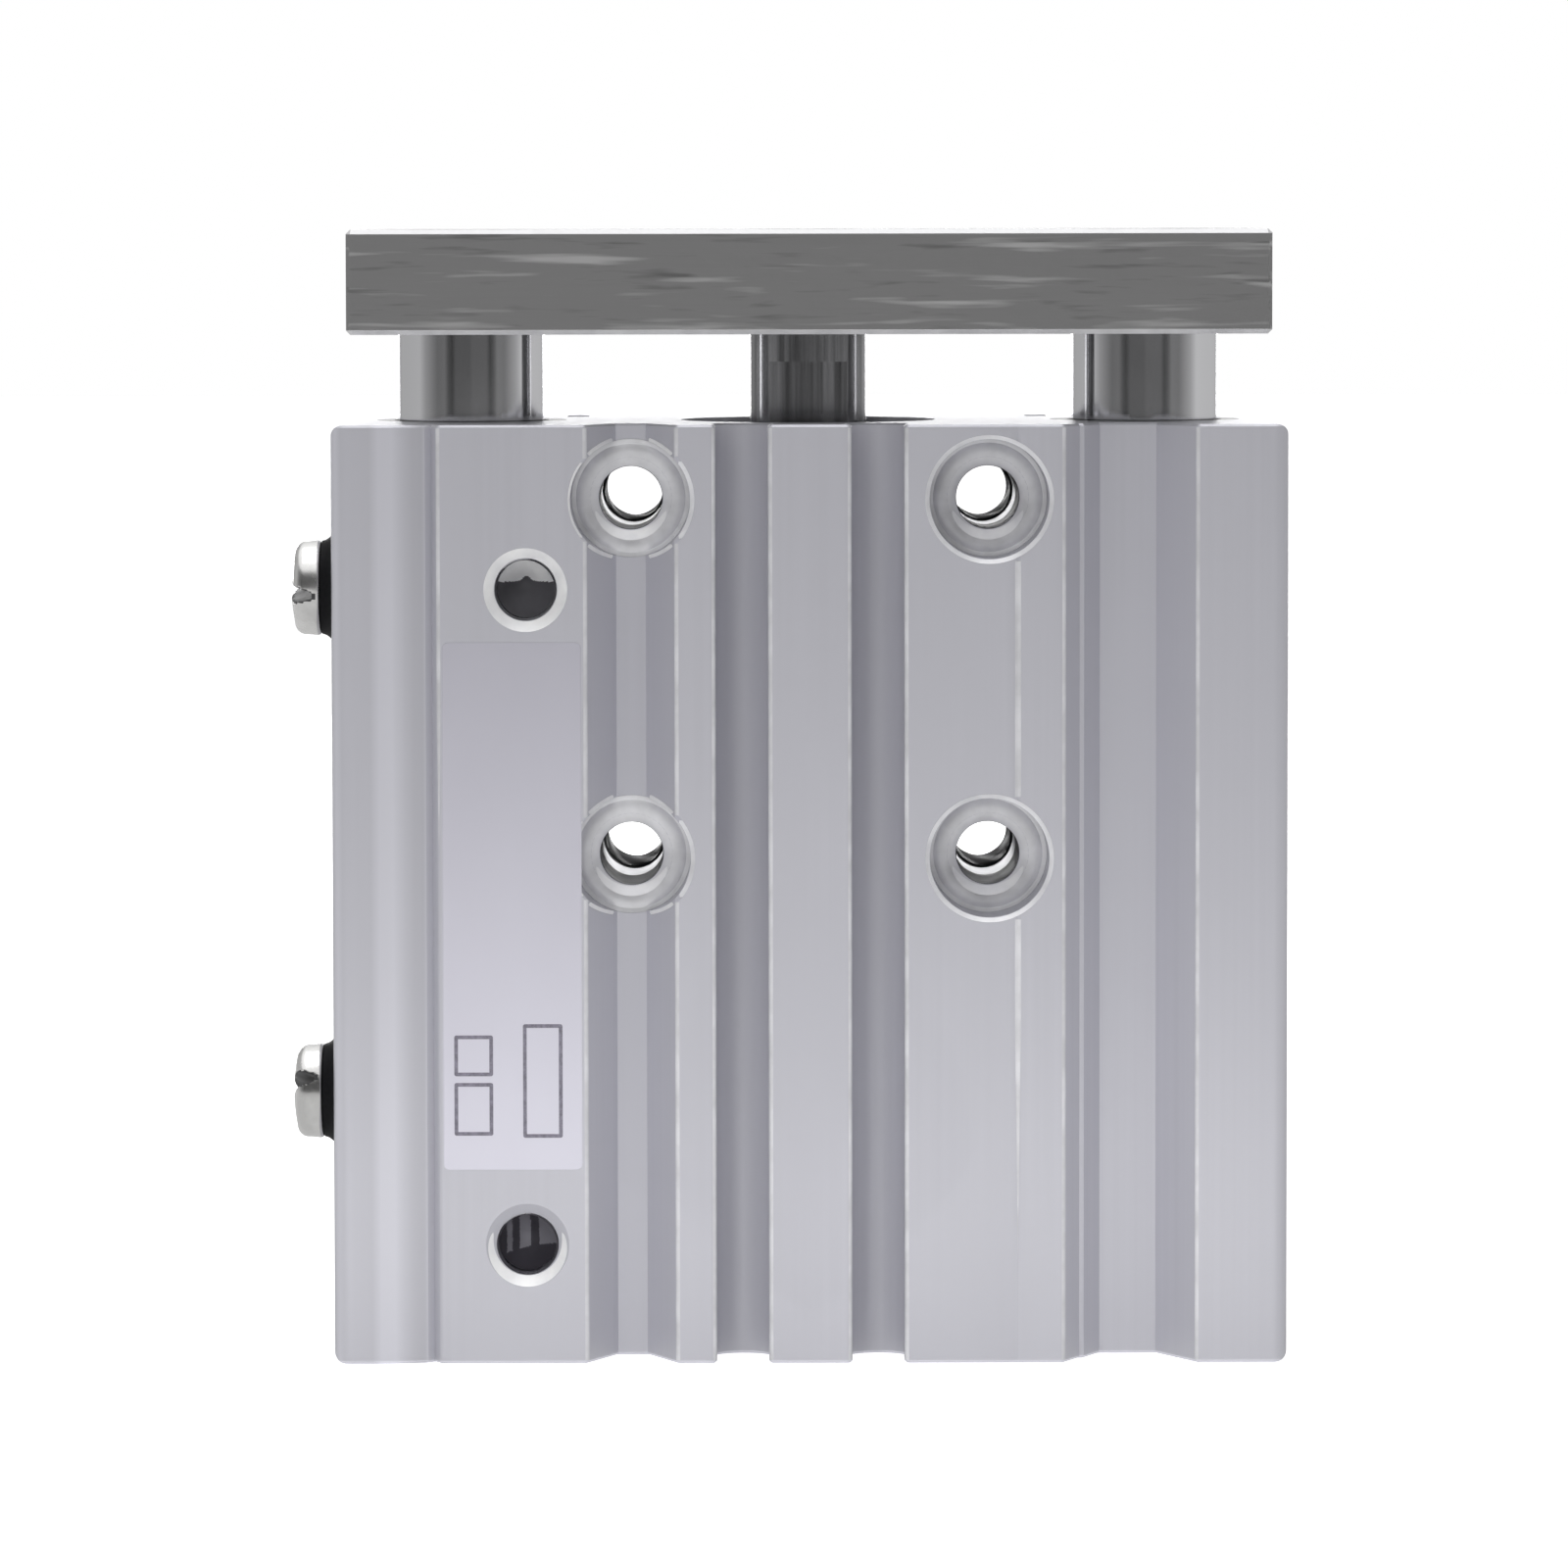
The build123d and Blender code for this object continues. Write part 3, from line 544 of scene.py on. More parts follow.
class FinishInnerPieces(bpy.types.Operator):
    """Give the collar, covers, rings, seals, bearings and the piston their finishes"""

    bl_idname = "cylinder.finish_inner"
    bl_label = "Inner pieces"

    def execute(self, context):
        made = {
            "cover_aluminium": turned_metal("Turned aluminium", (0.62, 0.62, 0.64), 0.33, 0.5),
            "bush_bronze": turned_metal("Bush bronze", (0.55, 0.36, 0.17), 0.35, 0.6),
            "bearing_bronze": turned_metal("Bearing bronze", (0.50, 0.35, 0.19), 0.42, 0.6),
            "ring_steel": turned_metal("Spring steel", (0.10, 0.10, 0.105), 0.38, 0.7),
            "ball_steel": turned_metal("Ball steel", (0.72, 0.72, 0.74), 0.12, 0.2),
            "seal_rubber": soft_part("Seal rubber", (0.018, 0.018, 0.018), 0.5, 0.5, 0.000008),
            "bumper_rubber": soft_part("Bumper rubber", (0.09, 0.082, 0.072), 0.55, 0.5, 0.00001),
            "magnet": soft_part("Bonded magnet", (0.05, 0.05, 0.055), 0.6, 0.7, 0.00001),
            "felt": soft_part("Oiled felt", (0.42, 0.38, 0.29), 0.9, 1.0, 0.00005),
            "holder_plastic": soft_part("Holder plastic", (0.02, 0.02, 0.02), 0.45, 0.4, 0.000006),
        }
        for subpart in frame["record"]["subparts"]:
            material = made.get(subpart["material_slot"])
            if material is not None:
                keep_cad(subpart["node"], material)
        return {"FINISHED"}


class AddGuideRods(bpy.types.Operator):
    """Turn both guide rods as fine ground bars with a tapped head end"""

    bl_idname = "cylinder.add_guide_rods"
    bl_label = "Guide rods"

    def execute(self, context):
        look = context.scene.cylinder_rods
        material = polished("Guide rod chrome", look.colour, look.roughness, 0.5)
        for side in ("left", "right"):
            low, size = node_size(f"guide_rod_{side}")
            bolt_low, _ = node_size(f"plate_bolt_{side}")
            radius, height = size[0] / 2, size[2]
            below_bolt, mark = 1.5 * MM, look.centre_drill
            tap_radius, tap_floor = 2.52 * MM, bolt_low[2] - low[2] - below_bolt
            profile = [
                (0.0, mark),
                (mark, 0.0),
                (radius - look.end_chamfer, 0.0),
                (radius, look.end_chamfer),
                (radius, height),
                (tap_radius, height),
                (tap_radius, tap_floor),
                (0.0, tap_floor - tap_radius / 2),
            ]
            origin = (low[0] + radius, low[1] + radius, low[2])
            name = f"ground_guide_rod_{side}"
            rod = turned_piece(
                name, profile, origin, (0, 0, 1), material, 128, body=CARRIAGE, slot="guide_chrome"
            )
            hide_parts(f"guide_rod_{side}")
        return {"FINISHED"}


class AddPistonRod(bpy.types.Operator):
    """Shape the piston rod with its spigot and two wrench flats"""

    bl_idname = "cylinder.add_piston_rod"
    bl_label = "Piston rod"

    def execute(self, context):
        look = context.scene.cylinder_rods
        material = self.drawn_steel("Piston rod steel", look.rod_colour, 2.2 * look.roughness)
        low, size = node_size("piston_rod")
        radius, flat, chamfer = size[0] / 2, 3.0 * MM, 0.3 * MM
        body_top = BODY_LOW[2] + BODY_SIZE[2]
        flat_low, flat_high = body_top - 0.2 * MM, PLATE_BOTTOM - 2.0 * MM
        corner = np.arcsin(flat / radius)
        on_round, on_flat = np.linspace(-corner, corner, 25), np.linspace(corner, np.pi - corner, 9)
        half = np.concatenate([on_round[:-1], on_flat[:-1]])
        angle = np.concatenate([half, half + np.pi])
        flat_radius = np.minimum(radius, flat / np.maximum(np.abs(np.sin(angle)), 1e-6))
        spigot, shoulder = 3.0 * MM, low[2] + 10.0 * MM
        tap, tap_floor = 2.02 * MM, PLATE_BOTTOM - 9.6 * MM
        rows = [
            (0.0, low[2]),
            (spigot - chamfer, low[2]),
            (spigot, low[2] + chamfer),
            (spigot, shoulder),
            (radius, shoulder),
            (radius, flat_low),
            (flat_radius, flat_low),
            (flat_radius, flat_high),
            (radius, flat_high),
            (radius, PLATE_BOTTOM),
            (tap, PLATE_BOTTOM),
            (tap, tap_floor),
            (0.0, tap_floor - tap / 2),
        ]
        points, faces = ringed(rows, angle), grid_faces(len(rows), len(angle))
        rod = mesh_piece("flatted_piston_rod", points, faces, material, CARRIAGE, "rod_steel", 28.0)
        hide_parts("piston_rod")
        return {"FINISHED"}

    def drawn_steel(self, name, colour, roughness):
        """Bright steel with lengthwise light and dark lines, as the flats show."""
        material = finish(name, colour, 0.9, roughness)
        broad = stretched_noise(material, (620, 620, 12), detail=2.0)
        lines = stretched_noise(material, (2600, 2600, 25), detail=4.0)
        banded = spread(material, broad, 0, 1, (0.4, 0.6))
        dullness = spread(material, lines, 0.7 * roughness, 1.5 * roughness)
        tone = colour_mix(material, banded, scaled(colour, 0.45), scaled(colour, 1.15))
        tone = colour_mix(material, spread(material, lines, 0, 0.4), tone, scaled(colour, 1.5))
        feed(material, tone, dullness, relief(material, lines, 0.000002, 0.5))
        return material


class AddPlateBolts(bpy.types.Operator):
    """Make the low-head bolts of the plate, each with a hexagon socket"""

    bl_idname = "cylinder.add_plate_bolts"
    bl_label = "Plate bolts"

    def execute(self, context):
        look = context.scene.cylinder_plate
        material = turned_metal("Bolt steel", look.bolt_colour, 0.36, 0.6)
        kinds = {"left": (2.5, 3.5, 3.0), "right": (2.5, 3.5, 3.0), "centre": (2.0, 2.8, 2.5)}
        chamfer, socket_chamfer = 0.3 * MM, (0.18 * MM, 0.15 * MM)
        socket_depth, drill_point = 1.7 * MM, 0.5 * MM
        angle = np.linspace(0, 2 * np.pi, 96, endpoint=False)
        to_side = (angle + np.pi / 6) % (np.pi / 3) - np.pi / 6
        for place, (shank, head, socket) in kinds.items():
            low, size = node_size(f"plate_bolt_{place}")
            top = low[2] + size[2]
            seat = top - head * MM
            shank_radius, head_radius, soft = shank * MM, size[0] / 2, look.bolt_round
            hexagon = socket / 2 * MM / np.cos(to_side)
            floor = top - socket_depth
            rows = [(0.0, low[2]), (shank_radius - chamfer, low[2]), (shank_radius, low[2] + chamfer)]
            rows += [(shank_radius, seat), (head_radius, seat)]
            rows += arc((head_radius - soft, top - soft), soft, 0, 90)
            rows += [(hexagon + socket_chamfer[0], top), (hexagon, top - socket_chamfer[1])]
            rows += [(hexagon, floor), (0.0, floor - drill_point)]
            points = ringed(rows, angle)
            points += np.array([low[0] + head_radius, low[1] + head_radius, 0.0])
            faces = grid_faces(len(rows), len(angle))
            name = f"socket_bolt_{place}"
            bolt = mesh_piece(name, points, faces, material, CARRIAGE, "bolt_steel", 28.0)
            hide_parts(f"plate_bolt_{place}")
        return {"FINISHED"}


class AddPortPlugs(bpy.types.Operator):
    """Make the side port plugs, rounded and slotted, each on a flared rubber gasket"""

    bl_idname = "cylinder.add_port_plugs"
    bl_label = "Port plugs"

    def execute(self, context):
        look = context.scene.cylinder_plugs
        nickel = turned_metal("Plug nickel", look.colour, look.roughness, 0.35)
        # Painted shade: a dark metal for the faces of the plugs' slots
        slot_shade_metal = turned_metal("Plug slot", look.slot_shade_colour, 0.45, 0.6, 0.5)
        rubber = soft_part("Gasket rubber", look.gasket_colour, 0.6, 0.4, 0.000006)
        shader_of(rubber).inputs["Specular IOR Level"].default_value = 0.12
        for level, turn in (("upper", 82.0), ("lower", -69.0)):
            low, size = node_size(f"plug_gasket_{level}")
            seat = size[0]
            centre = (low[0] + seat, low[1] + size[1] / 2, low[2] + size[2] / 2)
            self.make_gasket(level, centre, seat, size[1] / 2, look, rubber)
            self.make_plug(level, centre, seat, turn, look, nickel, slot_shade_metal)
        return {"FINISHED"}

    def make_gasket(self, level, centre, seat, radius, look, material):
        """A rubber ring, widest on the body; its outline is r = tip + flare * (1 - h / seat)^2."""
        tip, inner = radius - look.gasket_flare, 2.12 * MM
        share_of_seat = np.linspace(0.06, 0.94, 10)
        profile = [(inner, 0.0), (radius - 0.05 * MM, 0.0)]
        profile += [(tip + look.gasket_flare * (1 - s) ** 2, s * seat) for s in share_of_seat]
        profile += [(tip - 0.06 * MM, seat), (inner, seat)]
        name, slot = f"rubber_gasket_{level}", "gasket_rubber"
        gasket = turned_piece(name, profile, centre, (-1, 0, 0), material, loop=True, slot=slot)
        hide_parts(f"plug_gasket_{level}")

    def make_plug(self, level, centre, seat, turn, look, material, slot_shade_metal):
        """A turned head cut down to a V-mouthed slot: height = min(head, slot floor + slope * distance).

        The distance is that from the slot's floor, across the slot, whose line lies at turn degrees.
        """
        top = seat + look.head_height
        radius, thread = look.head_radius, 2.08 * MM
        dome, soft, draft, wall_foot, wall = 0.25 * MM, 0.25 * MM, 0.06 * MM, 0.3 * MM, 0.6 * MM
        tip, segments, slope = -3.5 * MM, 144, 4.0
        profile = [(0.0, tip), (thread - 0.3 * MM, tip), (thread, tip + 0.3 * MM), (thread, seat)]
        profile += [(radius - soft, seat)]
        profile += arc((radius - soft, seat + soft), soft, -90, 0, 4)
        crown = look.crown
        bow = radius - crown - draft
        profile += [(radius - draft * run, seat + wall_foot + wall * run) for run in (0.0, 0.5, 1.0)]
        profile += arc((bow, top - dome - crown), crown, 6, 84, 12)
        inner = np.linspace(bow, 0, 24)[1:]
        profile += [(r, top - dome * (r / bow) ** 2) for r in inner]
        points = turned(profile, segments)
        angle = np.radians(turn)
        off_line = np.abs(points[..., 0] * np.cos(angle) + points[..., 1] * np.sin(angle))
        walls = np.maximum(off_line - look.slot_width / 2, 0.0)
        slot = top - look.slot_depth + slope * walls
        cut = (points[..., 2] > seat + wall_foot) & (slot < points[..., 2])
        points[..., 2] = np.where(cut, slot, points[..., 2])
        points = placed(points, centre, (-1, 0, 0))
        faces = grid_faces(len(profile), segments)
        # The slot's faces take the painted shade
        marked = (cut.ravel()[faces].sum(axis=-1) > 1, slot_shade_metal)
        name = f"slotted_plug_{level}"
        plug = mesh_piece(name, points, faces, material, BODY, "plug_nickel", 40.0, marked)
        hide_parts(f"port_plug_{level}")


class AddThreads(bpy.types.Operator):
    """Line the ports and the tapped holes with threads"""

    bl_idname = "cylinder.add_threads"
    bl_label = "Threads"

    def execute(self, context):
        look = context.scene.cylinder_threads
        body_metal = turned_metal("Cut aluminium", (0.62, 0.62, 0.65), 0.3, 0.4)
        plate_metal = turned_metal("Cut steel", (0.30, 0.30, 0.305), 0.34, 0.5)
        # Painted shade: a near-black metal for the threads of the back bolt holes
        thread_shade_metal = turned_metal("Deep thread", (0.05, 0.05, 0.055), 0.45, 0.5, 0.3)
        rim, port_depth = 0.4 * MM, 1.9 * MM
        for name in ("port_upper", "port_lower"):
            mount = MOUNTS[name]
            axis, dims = mount["axis"], mount["dims"]
            mouth = np.array(mount["pos_m"]) + np.array(axis) * dims["length_mm"] / 2 * MM
            radius = dims["r_mm"] * MM
            self.make_thread(f"thread_{name}", mouth, axis, radius, port_depth, look, BODY, body_metal)
        for name, depth, body, metal in (
            ("bottom_bolts", 9.0 * MM, BODY, body_metal),
            ("back_bolts", 10.0 * MM, BODY, thread_shade_metal),
            ("plate_bolts", float(PLATE_SIZE[2]) - 2 * rim, CARRIAGE, plate_metal),
        ):
            mount = MOUNTS[name]
            dims = mount["dims"]
            rows = ("lower", "upper") if name == "back_bolts" else ("front", "back")
            across = np.array([0.0, 0.0, 1.0] if name == "back_bolts" else [0.0, 1.0, 0.0])
            for x in (-1, 1):
                for y in (-1, 1):
                    offset = np.array([x * dims["spacing_x_mm"], 0.0, 0.0]) / 2 * MM
                    offset += across * y * dims["spacing_y_mm"] / 2 * MM
                    mouth = np.array(mount["pos_m"]) + offset - np.array(mount["axis"]) * rim
                    place = ("left_" if x < 0 else "right_") + rows[(y + 1) // 2]
                    radius = dims["hole_r_mm"] * MM
                    self.make_thread(
                        f"thread_{name}_{place}", mouth, mount["axis"], radius, depth, look, body, metal
                    )
        return {"FINISHED"}

    def make_thread(self, name, mouth, axis, radius, depth, look, body, material):
        """A sleeve against the wall whose inside is a screw that fades out at both ends.

        r = R - ridge * (1 - |2 frac(z / pitch - a / 2 pi) - 1|)
        """
        around, per_pitch, wall, skin = 40, 6, 0.005 * MM, 0.02 * MM
        count = max(4, int(round(depth / look.pitch * per_pitch)))
        angle = np.linspace(0, 2 * np.pi, around, endpoint=False)
        height = np.linspace(-depth, 0, count)
        phase = (height[:, None] / look.pitch - angle / (2 * np.pi)) % 1.0
        fade = np.clip(np.minimum(height + depth, -height) / (0.3 * look.pitch), 0, 1)[:, None]
        inner = radius - skin - look.ridge * fade * (1 - np.abs(2 * phase - 1))
        rows = [*zip(inner, height), (radius - wall, 0.0), (radius - wall, -depth)]
        points = placed(ringed(rows, angle), mouth, axis)
        faces = grid_faces(len(rows), around, wrap_rows=True)
        slot = "body_aluminium" if body == BODY else "plate_steel"
        mesh_piece(name, points, faces, material, body, slot, 60.0)


class AddEdgeHighlights(bpy.types.Operator):
    """Line the rounded mouths of the grooves and a scribe line with bright skins, painted highlights on the
    anodised edges
    """

    bl_idname = "cylinder.add_bare_edges"
    bl_label = "Edge highlights"

    def execute(self, context):
        look = context.scene.cylinder_body
        # Painted highlight: a pale metal for thin skins over the groove edges and the scribe line
        bright = turned_metal("Burnished edge", look.highlight_colour, 0.5, 0.05, 0.25)
        foot, head = 0.2, 62.8
        whole = [(foot, head)]
        # Centre of each rounded edge, its side, its first and last angle, and its spans from foot to head
        rounds = [
            (-24.603, -14.45, -1, 12, 58, [(31.0, head, 14.0)]),
            (-15.235, -14.45, 1, 12, 62, [(foot, 31.25), (36.75, 55.25), (60.75, head)]),
            (-8.695, -14.6, -1, 12, 62, [(foot, 31.1), (36.9, 55.1), (60.9, head)]),
            (-6.7, -14.6, 1, 20, 70, whole),
            (-2.4, -14.6, -1, 15, 70, whole),
            (2.4, -14.6, 1, 20, 70, whole),
            (6.7, -14.6, -1, 15, 70, whole),
            (16.748, -14.6, 1, 15, 60, whole),
            (26.138, -14.6, -1, 15, 60, whole),
        ]
        edge_radius = 0.4
        for number, (x, y, side, start, end, spans) in enumerate(rounds, 1):
            angle = np.radians(np.linspace(start, end, 7))
            outwards = np.column_stack([side * np.sin(angle), -np.cos(angle)])
            outline = np.array([x, y]) + edge_radius * outwards
            for part, span in enumerate(spans, 1):
                self.make_strip(f"edge_highlight_{number}_{part}", outline, outwards, bright, *span)
        # Painted highlight over the scribe line's groove
        groove = np.array([(13.7, -15.0), (13.88, -14.93), (13.92, -14.93), (14.1, -15.0)])
        forwards = np.tile([0.0, -1.0], (len(groove), 1))
        for part, span in enumerate([(7.0, 29.9, 16.0), (38.1, 53.9)], 1):
            self.make_strip(f"scribe_highlight_{part}", groove, forwards, bright, *span)
        return {"FINISHED"}

    def make_strip(self, name, outline, outwards, material, foot, head, taper=0.02):
        """A thin upright skin over a line of x and y in millimetres, drawn to a point at foot and head.

        taper is the length of the point at its foot.
        """
        front, back, tip = 0.014, 0.002, 0.02
        loop = np.concatenate([outline + front * outwards, (outline + back * outwards)[::-1]])
        middle = np.tile(loop.mean(axis=0), (len(loop), 1))
        rows = []
        for line, height in ((middle, foot), (loop, foot + taper), (loop, head - tip), (middle, head)):
            rows.append(np.column_stack([line, np.full(len(loop), height)]) * MM)
        mesh_piece(name, np.array(rows), grid_faces(4, len(loop)), material)


class AddCutRims(bpy.types.Operator):
    """Line the chamfers and seats that the tools left, add bright arcs of painted highlight, and shade the
    depths of the holes
    """

    bl_idname = "cylinder.add_cut_rims"
    bl_label = "Bright chamfers"

    def execute(self, context):
        look = context.scene.cylinder_rims
        bright = turned_metal("Bright chamfer", look.colour, look.roughness, 0.4, 0.3)
        self.line_ports(bright)
        self.line_counterbores(look, bright)
        return {"FINISHED"}

    def line_ports(self, bright):
        """Chamfer and drill point of both front ports, those of the lower one partly in shade."""
        # Painted light and painted shade in the drill points: shaded, dark and dimly lit tones
        shade = turned_metal("Drill point shade", (0.10, 0.098, 0.108), 0.5, 0.4, 0.2)
        dark = turned_metal("Drill point dark", (0.045, 0.042, 0.052), 0.5, 0.4, 0.2)
        dull = turned_metal("Drill point grey", (0.20, 0.195, 0.22), 0.5, 0.4, 0.2)
        chamfer, panel = [(2.12, -0.68), (2.8, 0.0)], BODY_LOW[1] + 0.15 * MM
        for name in ("port_upper", "port_lower"):
            place = MOUNTS[name]["pos_m"]
            mouth = (place[0], panel, place[2])
            if name == "port_upper":
                # A bright cut chamfer all round, its brightness partly a painted highlight
                self.make_ring(f"chamfer_{name}", mouth, chamfer, bright)
                self.make_drill_point(f"drill_point_{name}", mouth, bright, shade, False)
            else:
                # Painted highlight: only the lower crescent of the chamfer is lined
                self.make_arc(f"chamfer_{name}", mouth, 160, 380, chamfer, bright, crescent=True)
                self.make_drill_point(f"drill_point_{name}", mouth, dull, dark, True)

    def line_counterbores(self, look, bright):
        """Rim, floor, floor chamfer and throat of the mounting holes, the left two cut by a groove."""
        seat = turned_metal("Counterbore face", look.seat_colour, 0.36, 0.4, 0.5)
        edge_metal = turned_metal("Counterbore rim", scaled(look.seat_colour, 1.08), 0.4, 0.4, 0.4)
        throat = turned_metal("Throat shade", (0.11, 0.108, 0.12), 0.55, 0.4, 0.3)
        floor = [(2.17, -4.88), (2.8, -4.5), (3.6, -4.49), (3.68, -4.53), (3.9, -4.46), (3.98, -4.46)]
        rim, outer_rim = [(4.02, -0.28), (4.3, 0.0)], [(4.01, -0.29), (4.15, -0.15)]
        floor_chamfer, in_groove = [(2.22, -4.82), (2.85, -4.45)], [(4.0, 0.0), (4.24, 0.0)]
        throat_low, throat_high, half_run = -13.0, -5.12, 13
        groove_edge = np.degrees(np.arccos(3.25 / 4.15))
        pos, dims = MOUNTS["back_bolts"]["pos_m"], MOUNTS["back_bolts"]["dims"]
        for side, x in (("left", -0.5), ("right", 0.5)):
            for level, z in (("lower", -0.5), ("upper", 0.5)):
                place = x * dims["spacing_x_mm"] * MM, z * dims["spacing_y_mm"] * MM
                mouth = (pos[0] + place[0], BODY_LOW[1], pos[2] + place[1])
                name = f"{side}_{level}"
                if side == "left":
                    self.make_arc(f"rim_inner_{name}", mouth, -groove_edge, groove_edge, rim, edge_metal)
                    # Painted highlights: a bright arc on the rim's far side and short arcs on the groove
                    # walls
                    start, end = 180 - groove_edge, 180 + groove_edge
                    self.make_arc(f"rim_outer_highlight_{name}", mouth, start, end, outer_rim, bright)
                    for middle in (60, 120, 240, 300):
                        part = f"highlight_in_groove_{middle}_{name}"
                        start, end = middle - half_run, middle + half_run
                        self.make_arc(part, mouth, start, end, in_groove, bright, in_groove=True)
                else:
                    self.make_ring(f"rim_whole_{name}", mouth, rim, edge_metal)
                self.make_ring(f"seat_{name}", mouth, floor, seat)
                # Painted highlight: only the lower crescent of the seat chamfer
                part = f"seat_chamfer_highlight_{name}"
                self.make_arc(part, mouth, 200, 340, floor_chamfer, bright, crescent=True)
                self.make_throat(f"throat_{name}", mouth, throat_low, throat_high, throat)

    def make_drill_point(self, name, mouth, lit, shade, barred):
        """A dished floor, h = -3.6 + 1.6 (r / 1.93)^2: lit above, in bars if it is barred, dark below."""
        edge, depth, dish, thick = 1.93, -3.6, 1.6, 0.1
        radius = np.linspace(0, edge, 30)
        height = depth + dish * (radius / edge) ** 2
        upper, under = np.column_stack([radius, height]), np.column_stack([radius, height - thick])
        line = np.concatenate([upper, under[::-1]])
        points = placed(turned(line * MM, 96), mouth, FRONT)
        faces = grid_faces(len(line), 96)
        middle = points.reshape(-1, 3)[faces].mean(axis=-2)
        across = (middle[..., 0] - mouth[0]) / MM
        low = middle[..., 2] < mouth[2] + (0.45 + 0.35 * np.exp(-((across / 0.35) ** 2))) * MM
        if barred:
            low = middle[..., 2] < mouth[2] - (0.5 - 0.2 * across) * MM
            low |= (np.abs(across + 0.85) < 0.24) | (np.abs(across - 0.42) < 0.28) | (across < -1.45)
        mesh_piece(name, points, faces, lit, marked=(low, shade))

    def make_throat(self, name, mouth, low, high, material):
        """A thin sleeve that darkens the wall of a hole between two heights in millimetres."""
        inner, outer = 2.12, 2.145
        loop = np.array([(inner, low), (inner, high), (outer, high), (outer, low)]) * MM
        turned_piece(name, loop, mouth, FRONT, material, loop=True)

    def skin(self, line):
        """A thin loop just over a line of radius and height, which is in millimetres."""
        front, back = 0.03, 0.01
        loop = [(radius * MM, (height + front) * MM) for radius, height in line]
        return loop + [(radius * MM, (height + back) * MM) for radius, height in reversed(line)]

    def make_ring(self, name, mouth, line, material):
        """A thin turned skin all round the axis."""
        turned_piece(name, self.skin(line), mouth, FRONT, material, loop=True)

    def make_arc(self, name, mouth, start, end, line, material, in_groove=False, crescent=False):
        """A thin skin from one angle to another, each end drawn to a point so that it closes.

        A crescent narrows evenly towards its ends, by the root of the sine of the share run.

        In the groove its height follows the sloping wall from the face down: h = -4.4 (3.05 - |x|) / 2.05.
        """
        angle = np.radians(np.linspace(start, end, 40))
        loop = np.array(self.skin(line))
        draw = np.ones(len(angle))
        if crescent:
            draw = np.sqrt(np.sin(np.linspace(0, np.pi, len(angle))).clip(0, 1))
        draw[[0, -1]] = 0.0
        loops = loop.mean(axis=0) + (loop - loop.mean(axis=0)) * draw[:, None, None]
        radius, height = loops[..., 0], loops[..., 1]
        turn = angle[:, None]
        if in_groove:
            wall_depth, wall_mouth, wall_width, lift = 4.4 * MM, 3.05 * MM, 2.05 * MM, 0.03 * MM
            across = np.abs(radius * np.cos(turn))
            height = height + lift - wall_depth * (wall_mouth - across) / wall_width
        points = np.stack([radius * np.cos(turn), radius * np.sin(turn), height], axis=-1)
        faces = grid_faces(len(angle), len(loop))
        mesh_piece(name, placed(points, mouth, FRONT), faces, material)


class AddLabel(bpy.types.Operator):
    """Lay the bare label film with its three blank frames on the front panel"""

    bl_idname = "cylinder.add_label"
    bl_label = "Label film"

    def execute(self, context):
        look = context.scene.cylinder_body
        film = finish("Label film", look.label_colour, 0.15, 0.42)
        clouds = stretched_noise(film, (80, 80, 40), detail=3.0)
        tone = mottled(film, clouds, look.label_colour, 0.98, 1.02)
        # Painted shade: the film grows darker towards its top
        tone = toned(film, tone, tone_along(film, "Z", (0.014, 0.031, 0.049), (0.5, 0.448, 0.385)))
        feed(film, tone)
        ink = soft_part("Label ink", look.ink_colour, 0.6, 0.2, 0.000002)
        panel, centre_x, thick = BODY_LOW[1] + 0.15 * MM, -19.95 * MM, 0.035 * MM
        low, high = look.label_low, look.label_low + look.label_length
        self.make_film("label_film", centre_x, look.label_width, low, high, panel, thick, film)
        frames = {
            "tall": (-17.94 * MM, 2.65 * MM, 15.25 * MM, 22.9 * MM),
            "lower": (-22.57 * MM, 2.6 * MM, 15.4 * MM, 18.95 * MM),
            "upper": (-22.57 * MM, 2.6 * MM, 19.4 * MM, 22.15 * MM),
        }
        for name, (x, width, foot, head) in frames.items():
            self.make_frame(f"blank_frame_{name}", x, width, foot, head, panel - thick, ink)
        return {"FINISHED"}

    def outline(self, x, y, width, foot, head, soft, inset):
        """Points round an upright rectangle with rounded corners, inset evenly, its middle at x and y."""
        soft = max(soft - inset, 0.01 * MM)
        half_width, half_height = width / 2 - inset - soft, (head - foot) / 2 - inset - soft
        corners = []
        for right, up, start in ((1, 1, 0), (-1, 1, 90), (-1, -1, 180), (1, -1, 270)):
            angle = np.radians(np.linspace(start, start + 90, 6))
            across = right * half_width + soft * np.cos(angle)
            rise = up * half_height + soft * np.sin(angle)
            corners.append(np.column_stack([across + x, np.full(len(angle), y), rise + (foot + head) / 2]))
        return np.concatenate(corners)

    def make_film(self, name, x, width, low, high, face, thick, material):
        """A thin slab with softened edges: outlines inset as they rise, closed along its middle."""
        soft, lip = 0.4 * MM, 0.06 * MM
        rows = []
        for inset, rise in ((0.0, 0.0), (0.0, 0.6), (lip, 1.0), (0.45 * width, 1.0)):
            rows.append(self.outline(x, face - rise * thick, width, low, high, soft, inset))
        middle = rows[-1].copy()
        middle[:, 0] = x
        points = np.array([middle + np.array([0.0, thick, 0.0]), *rows, middle])
        faces = grid_faces(*points.shape[:2])
        mesh_piece(name, points, faces, material, smooth=5.0)

    def make_frame(self, name, x, width, low, high, face, material):
        """A printed rectangle: four outlines carried round as one flat closed band."""
        soft, line, thick = 0.15 * MM, 0.25 * MM, 0.008 * MM
        rows = []
        for inset, rise in ((0.0, 0.0), (0.0, 1.0), (line, 1.0), (line, 0.0)):
            rows.append(self.outline(x, face - rise * thick, width, low, high, soft, inset))
        faces = grid_faces(len(rows), len(rows[0]), wrap_rows=True)
        mesh_piece(name, np.array(rows), faces, material, slot="seal_rubber")


